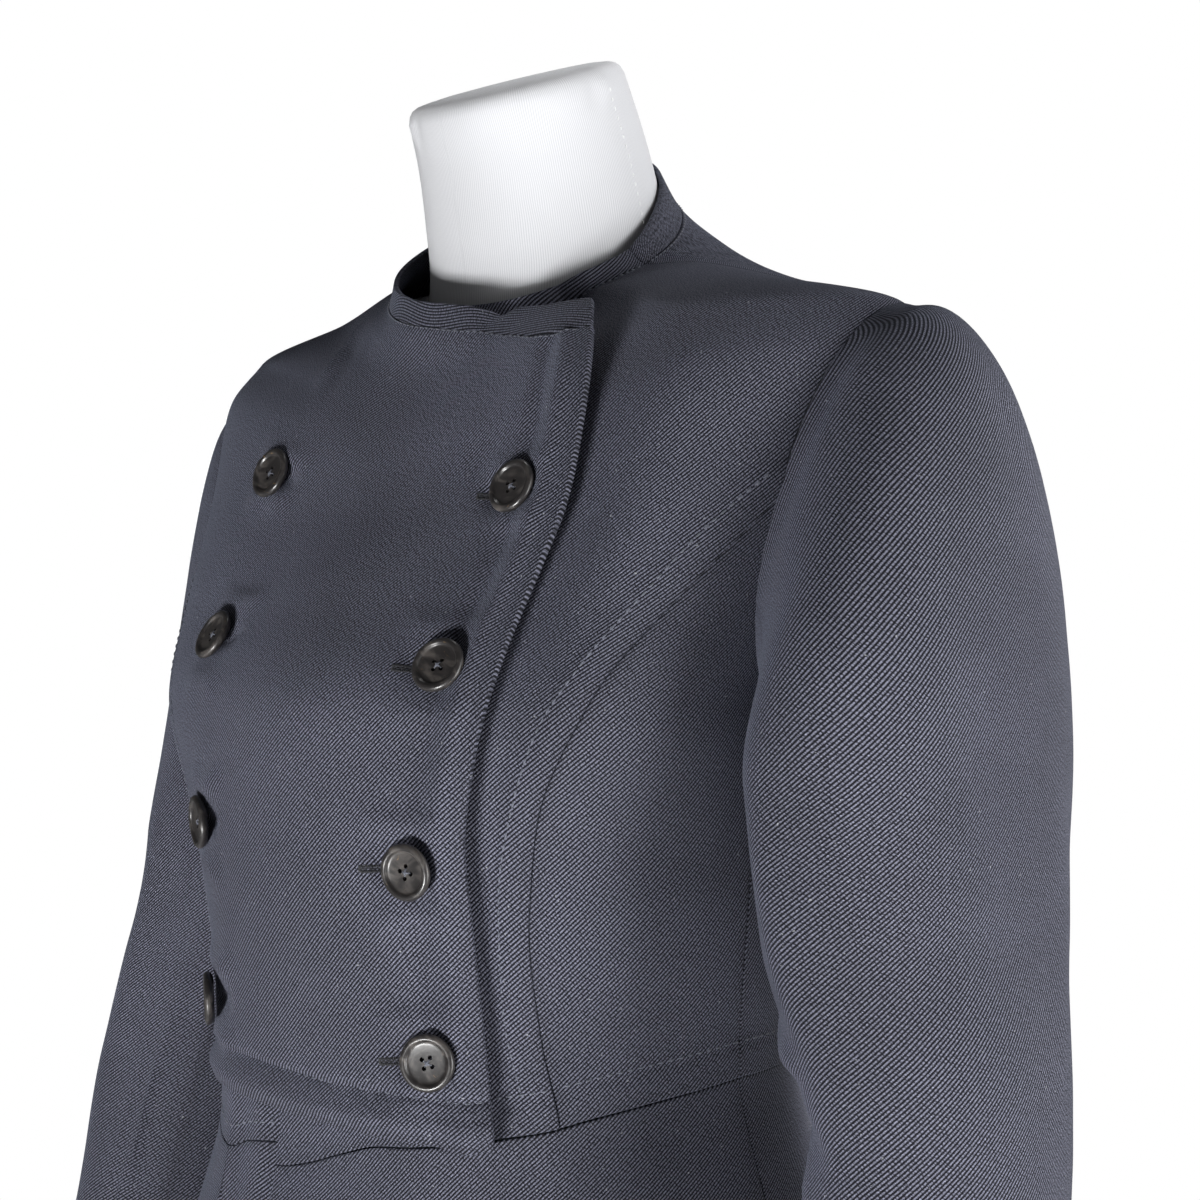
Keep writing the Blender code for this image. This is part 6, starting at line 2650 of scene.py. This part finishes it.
@dataclass(frozen=True)
class Studio:
    """Camera, floor, surround and lights."""

    camera_place: tuple[float, float, float] = (0.7004, -0.7692, 1.238)
    camera_azimuth: float = 41.0
    lens: float = 69.0
    shift: float = 0.0025
    ambient: float = 0.11
    overhead: float = 0.55
    floor_radius: float = 3.2
    floor_lift: float = 0.55
    lights: tuple[AreaLight, ...] = (
        AreaLight("key", (0.28, -1.80, 0.12), (0.05, 0.0, 1.12), (0.60, 0.60), 66.0),
        AreaLight("left_fill", (-2.30, -1.05, 0.50), (0.0, 0.0, 1.1), (1.2, 1.2), 1.0),
        AreaLight("right_fill", (2.30, 0.15, 0.80), (0.15, 0.0, 1.10), (1.0, 1.4), 44.0),
        AreaLight("shoulder", (1.90, 0.55, 1.80), (0.15, 0.0, 1.25), (0.8, 0.8), 12.0),
        AreaLight("neck_top", (0.0, -0.02, 1.60), (0.0, -0.02, 1.47), (0.08, 0.08), 0.13),
        AreaLight("behind_left", (1.10, 2.60, 1.50), (0.0, 0.0, 1.0), (1.6, 1.6), 24.0),
        AreaLight("behind_right", (-1.60, 2.30, 1.10), (0.0, 0.0, 1.0), (1.4, 1.4), 40.0),
    )

    def build(self) -> None:
        """Makes the studio."""
        scene = bpy.context.scene
        scene.view_settings.view_transform = "Standard"
        self.build_camera(scene)
        self.build_world(scene)
        self.build_floor(scene)
        for light in self.lights:
            self.build_light(scene, light)

    def build_camera(self, scene: bpy.types.Scene) -> None:
        """Makes the camera: level, at chest height, from the wearer's left front.

        Args:
            scene: The scene that it is added to.
        """
        data = bpy.data.cameras.new("camera")
        data.lens, data.sensor_width, data.shift_y = self.lens, 36.0, self.shift
        camera = bpy.data.objects.new("camera", data)
        camera.location = self.camera_place
        camera.rotation_euler = (math.radians(90.0), 0.0, math.radians(self.camera_azimuth))
        scene.collection.objects.link(camera)
        scene.camera = camera

    def build_world(self, scene: bpy.types.Scene) -> None:
        """Makes a white surround that lights less than it shows, and least from overhead.

        Args:
            scene: The scene that it is added to.
        """
        world = bpy.data.worlds.new("surround")
        world.use_nodes = True
        scene.world = world
        nodes = Nodes(world.node_tree)
        back = world.node_tree.nodes["Background"]
        back.inputs["Color"].default_value = (1.0, 1.0, 1.0, 1.0)
        seen = nodes.add("LightPath").outputs["Is Camera Ray"]
        height = nodes.add("SeparateXYZ", {0: nodes.add("TexCoord").outputs["Generated"]}).outputs[2]
        ambient = nodes.span(height, -0.6, 0.6, self.ambient, self.overhead * self.ambient)
        kept = nodes.maths("SUBTRACT", 1.0, seen)
        strength = nodes.maths("MULTIPLY_ADD", ambient, kept, seen)
        nodes.tree.links.new(strength, back.inputs["Strength"])

    def build_floor(self, scene: bpy.types.Scene) -> None:
        """Makes a round pale floor that fades into the surround."""
        floor = turned("floor", ((self.floor_radius, -0.006), (self.floor_radius, -0.0005)), 0.0)
        floor.data.materials.append(self.floor_material())

    def floor_material(self) -> bpy.types.Material:
        """The floor's pale finish.

        Returns:
            The material.
        """
        material, nodes, shader = new_material("pale_floor", {
            "Base Color": (0.88, 0.88, 0.88, 1.0), "Roughness": 0.8, "Specular IOR Level": 0.2,
            "Emission Color": (1.0, 1.0, 1.0, 1.0),
        })
        x, y = nodes.add("SeparateXYZ", {0: nodes.add("TexCoord").outputs["Object"]}).outputs[:2]
        squares = nodes.maths("ADD", nodes.maths("POWER", x, 2.0), nodes.maths("POWER", y, 2.0))
        radius = nodes.maths("SQRT", squares)
        seen = nodes.add("LightPath").outputs["Is Camera Ray"]
        nodes.feed(shader, {
            "Alpha": nodes.span(radius, 0.45 * self.floor_radius, 0.97 * self.floor_radius, 1.0, 0.0),
            "Emission Strength": nodes.product(seen, self.floor_lift)})
        return material

    def build_light(self, scene: bpy.types.Scene, light: AreaLight) -> None:
        """Makes one soft box.

        Args:
            scene: The scene that it is added to.
            light: Its size, place and power.
        """
        data = bpy.data.lights.new(light.name, "AREA")
        data.shape = "RECTANGLE"
        data.size, data.size_y = light.size
        data.energy = light.power
        obj = bpy.data.objects.new(light.name, data)
        obj.location = light.place
        way = Vector(light.aim) - Vector(light.place)
        obj.rotation_euler = way.to_track_quat("-Z", "Y").to_euler()
        obj.visible_camera = False
        scene.collection.objects.link(obj)


# --- the whole ---

def creases(*rows: tuple[tuple[tuple[float, float], ...], float, float]) -> tuple[Fold, ...]:
    """Sleeve creases: a line of angle round the sleeve and height, then height and width in mm."""
    return tuple(Fold(line, height * MM, width * MM, samples=50) for line, height, width in rows)


LEFT_SLEEVE_FOLDS = creases(
    (((118.0, 1.215), (104.0, 1.12), (96.0, 1.02)), -4.2, 13.0),
    (((166.0, 1.095), (140.0, 1.072), (108.0, 1.060)), -5.0, 7.0),
    (((162.0, 1.062), (136.0, 1.040), (98.0, 1.022)), 3.2, 8.0),
    (((152.0, 1.030), (120.0, 1.005), (84.0, 0.998)), -3.4, 8.0),
    (((34.0, 1.27), (14.0, 1.16), (4.0, 1.04)), 2.6, 22.0),
    (((-20.0, 1.18), (-34.0, 1.06), (-48.0, 0.95)), -2.6, 16.0),
    (((64.0, 1.08), (58.0, 0.97), (66.0, 0.84)), 1.8, 20.0),
    (((30.0, 0.99), (24.0, 0.90), (28.0, 0.81)), -2.0, 14.0),
    (((-60.0, 1.12), (-72.0, 1.06), (-95.0, 1.03)), 2.2, 10.0),
)
RIGHT_SLEEVE_FOLDS = creases(
    (((120.0, 1.10), (114.0, 0.98), (108.0, 0.83)), -2.6, 2.4),
    (((115.0, 1.10), (109.0, 0.98), (103.0, 0.83)), 1.0, 3.5),
    (((104.0, 1.20), (96.0, 1.08), (92.0, 0.92)), 2.2, 12.0),
    (((76.0, 1.16), (66.0, 1.05), (60.0, 0.93)), -2.6, 13.0),
    (((20.0, 1.22), (6.0, 1.10), (0.0, 0.98)), 2.4, 20.0),
    (((-28.0, 1.14), (-42.0, 1.04), (-50.0, 0.92)), -2.4, 15.0),
    (((160.0, 1.08), (138.0, 1.05), (112.0, 1.04)), -2.2, 9.0),
    (((44.0, 0.97), (40.0, 0.88), (46.0, 0.80)), 1.8, 15.0),
)


def main() -> None:
    """Builds every sub-assembly in order."""
    logging.basicConfig(level=logging.INFO, format="%(name)s: %(message)s")
    finishes = Finishes.make()
    form, layers = WornForm(), Layers()
    DressForm(form).build(finishes)
    coat = Coat(form, layers)
    panels = {panel.name: panel for panel in coat.panels()}
    for panel in panels.values():
        obj, base = panel.build(form)
        dress(obj, finishes.cloth, [panel.name])
        if panel.name.startswith("skirt"):
            declare_sheet(obj, base)
        else:
            declare_sheet(obj, base)
    Sleeve(form, Side.LEFT, (0.172, 0.036, 0.038), LEFT_SLEEVE_FOLDS).build(finishes)
    Sleeve(form, Side.RIGHT, (0.140, 0.012, -0.036), RIGHT_SLEEVE_FOLDS, head_rise=8.0 * MM,
           head_reach=15.0 * MM, straight_grain=110.0).build(finishes)
    Fastening(form, panels["bib_front"], layers).build(finishes)
    Topstitching(form, panels).build(finishes)
    Studio().build()


if __name__ == "__main__":
    main()
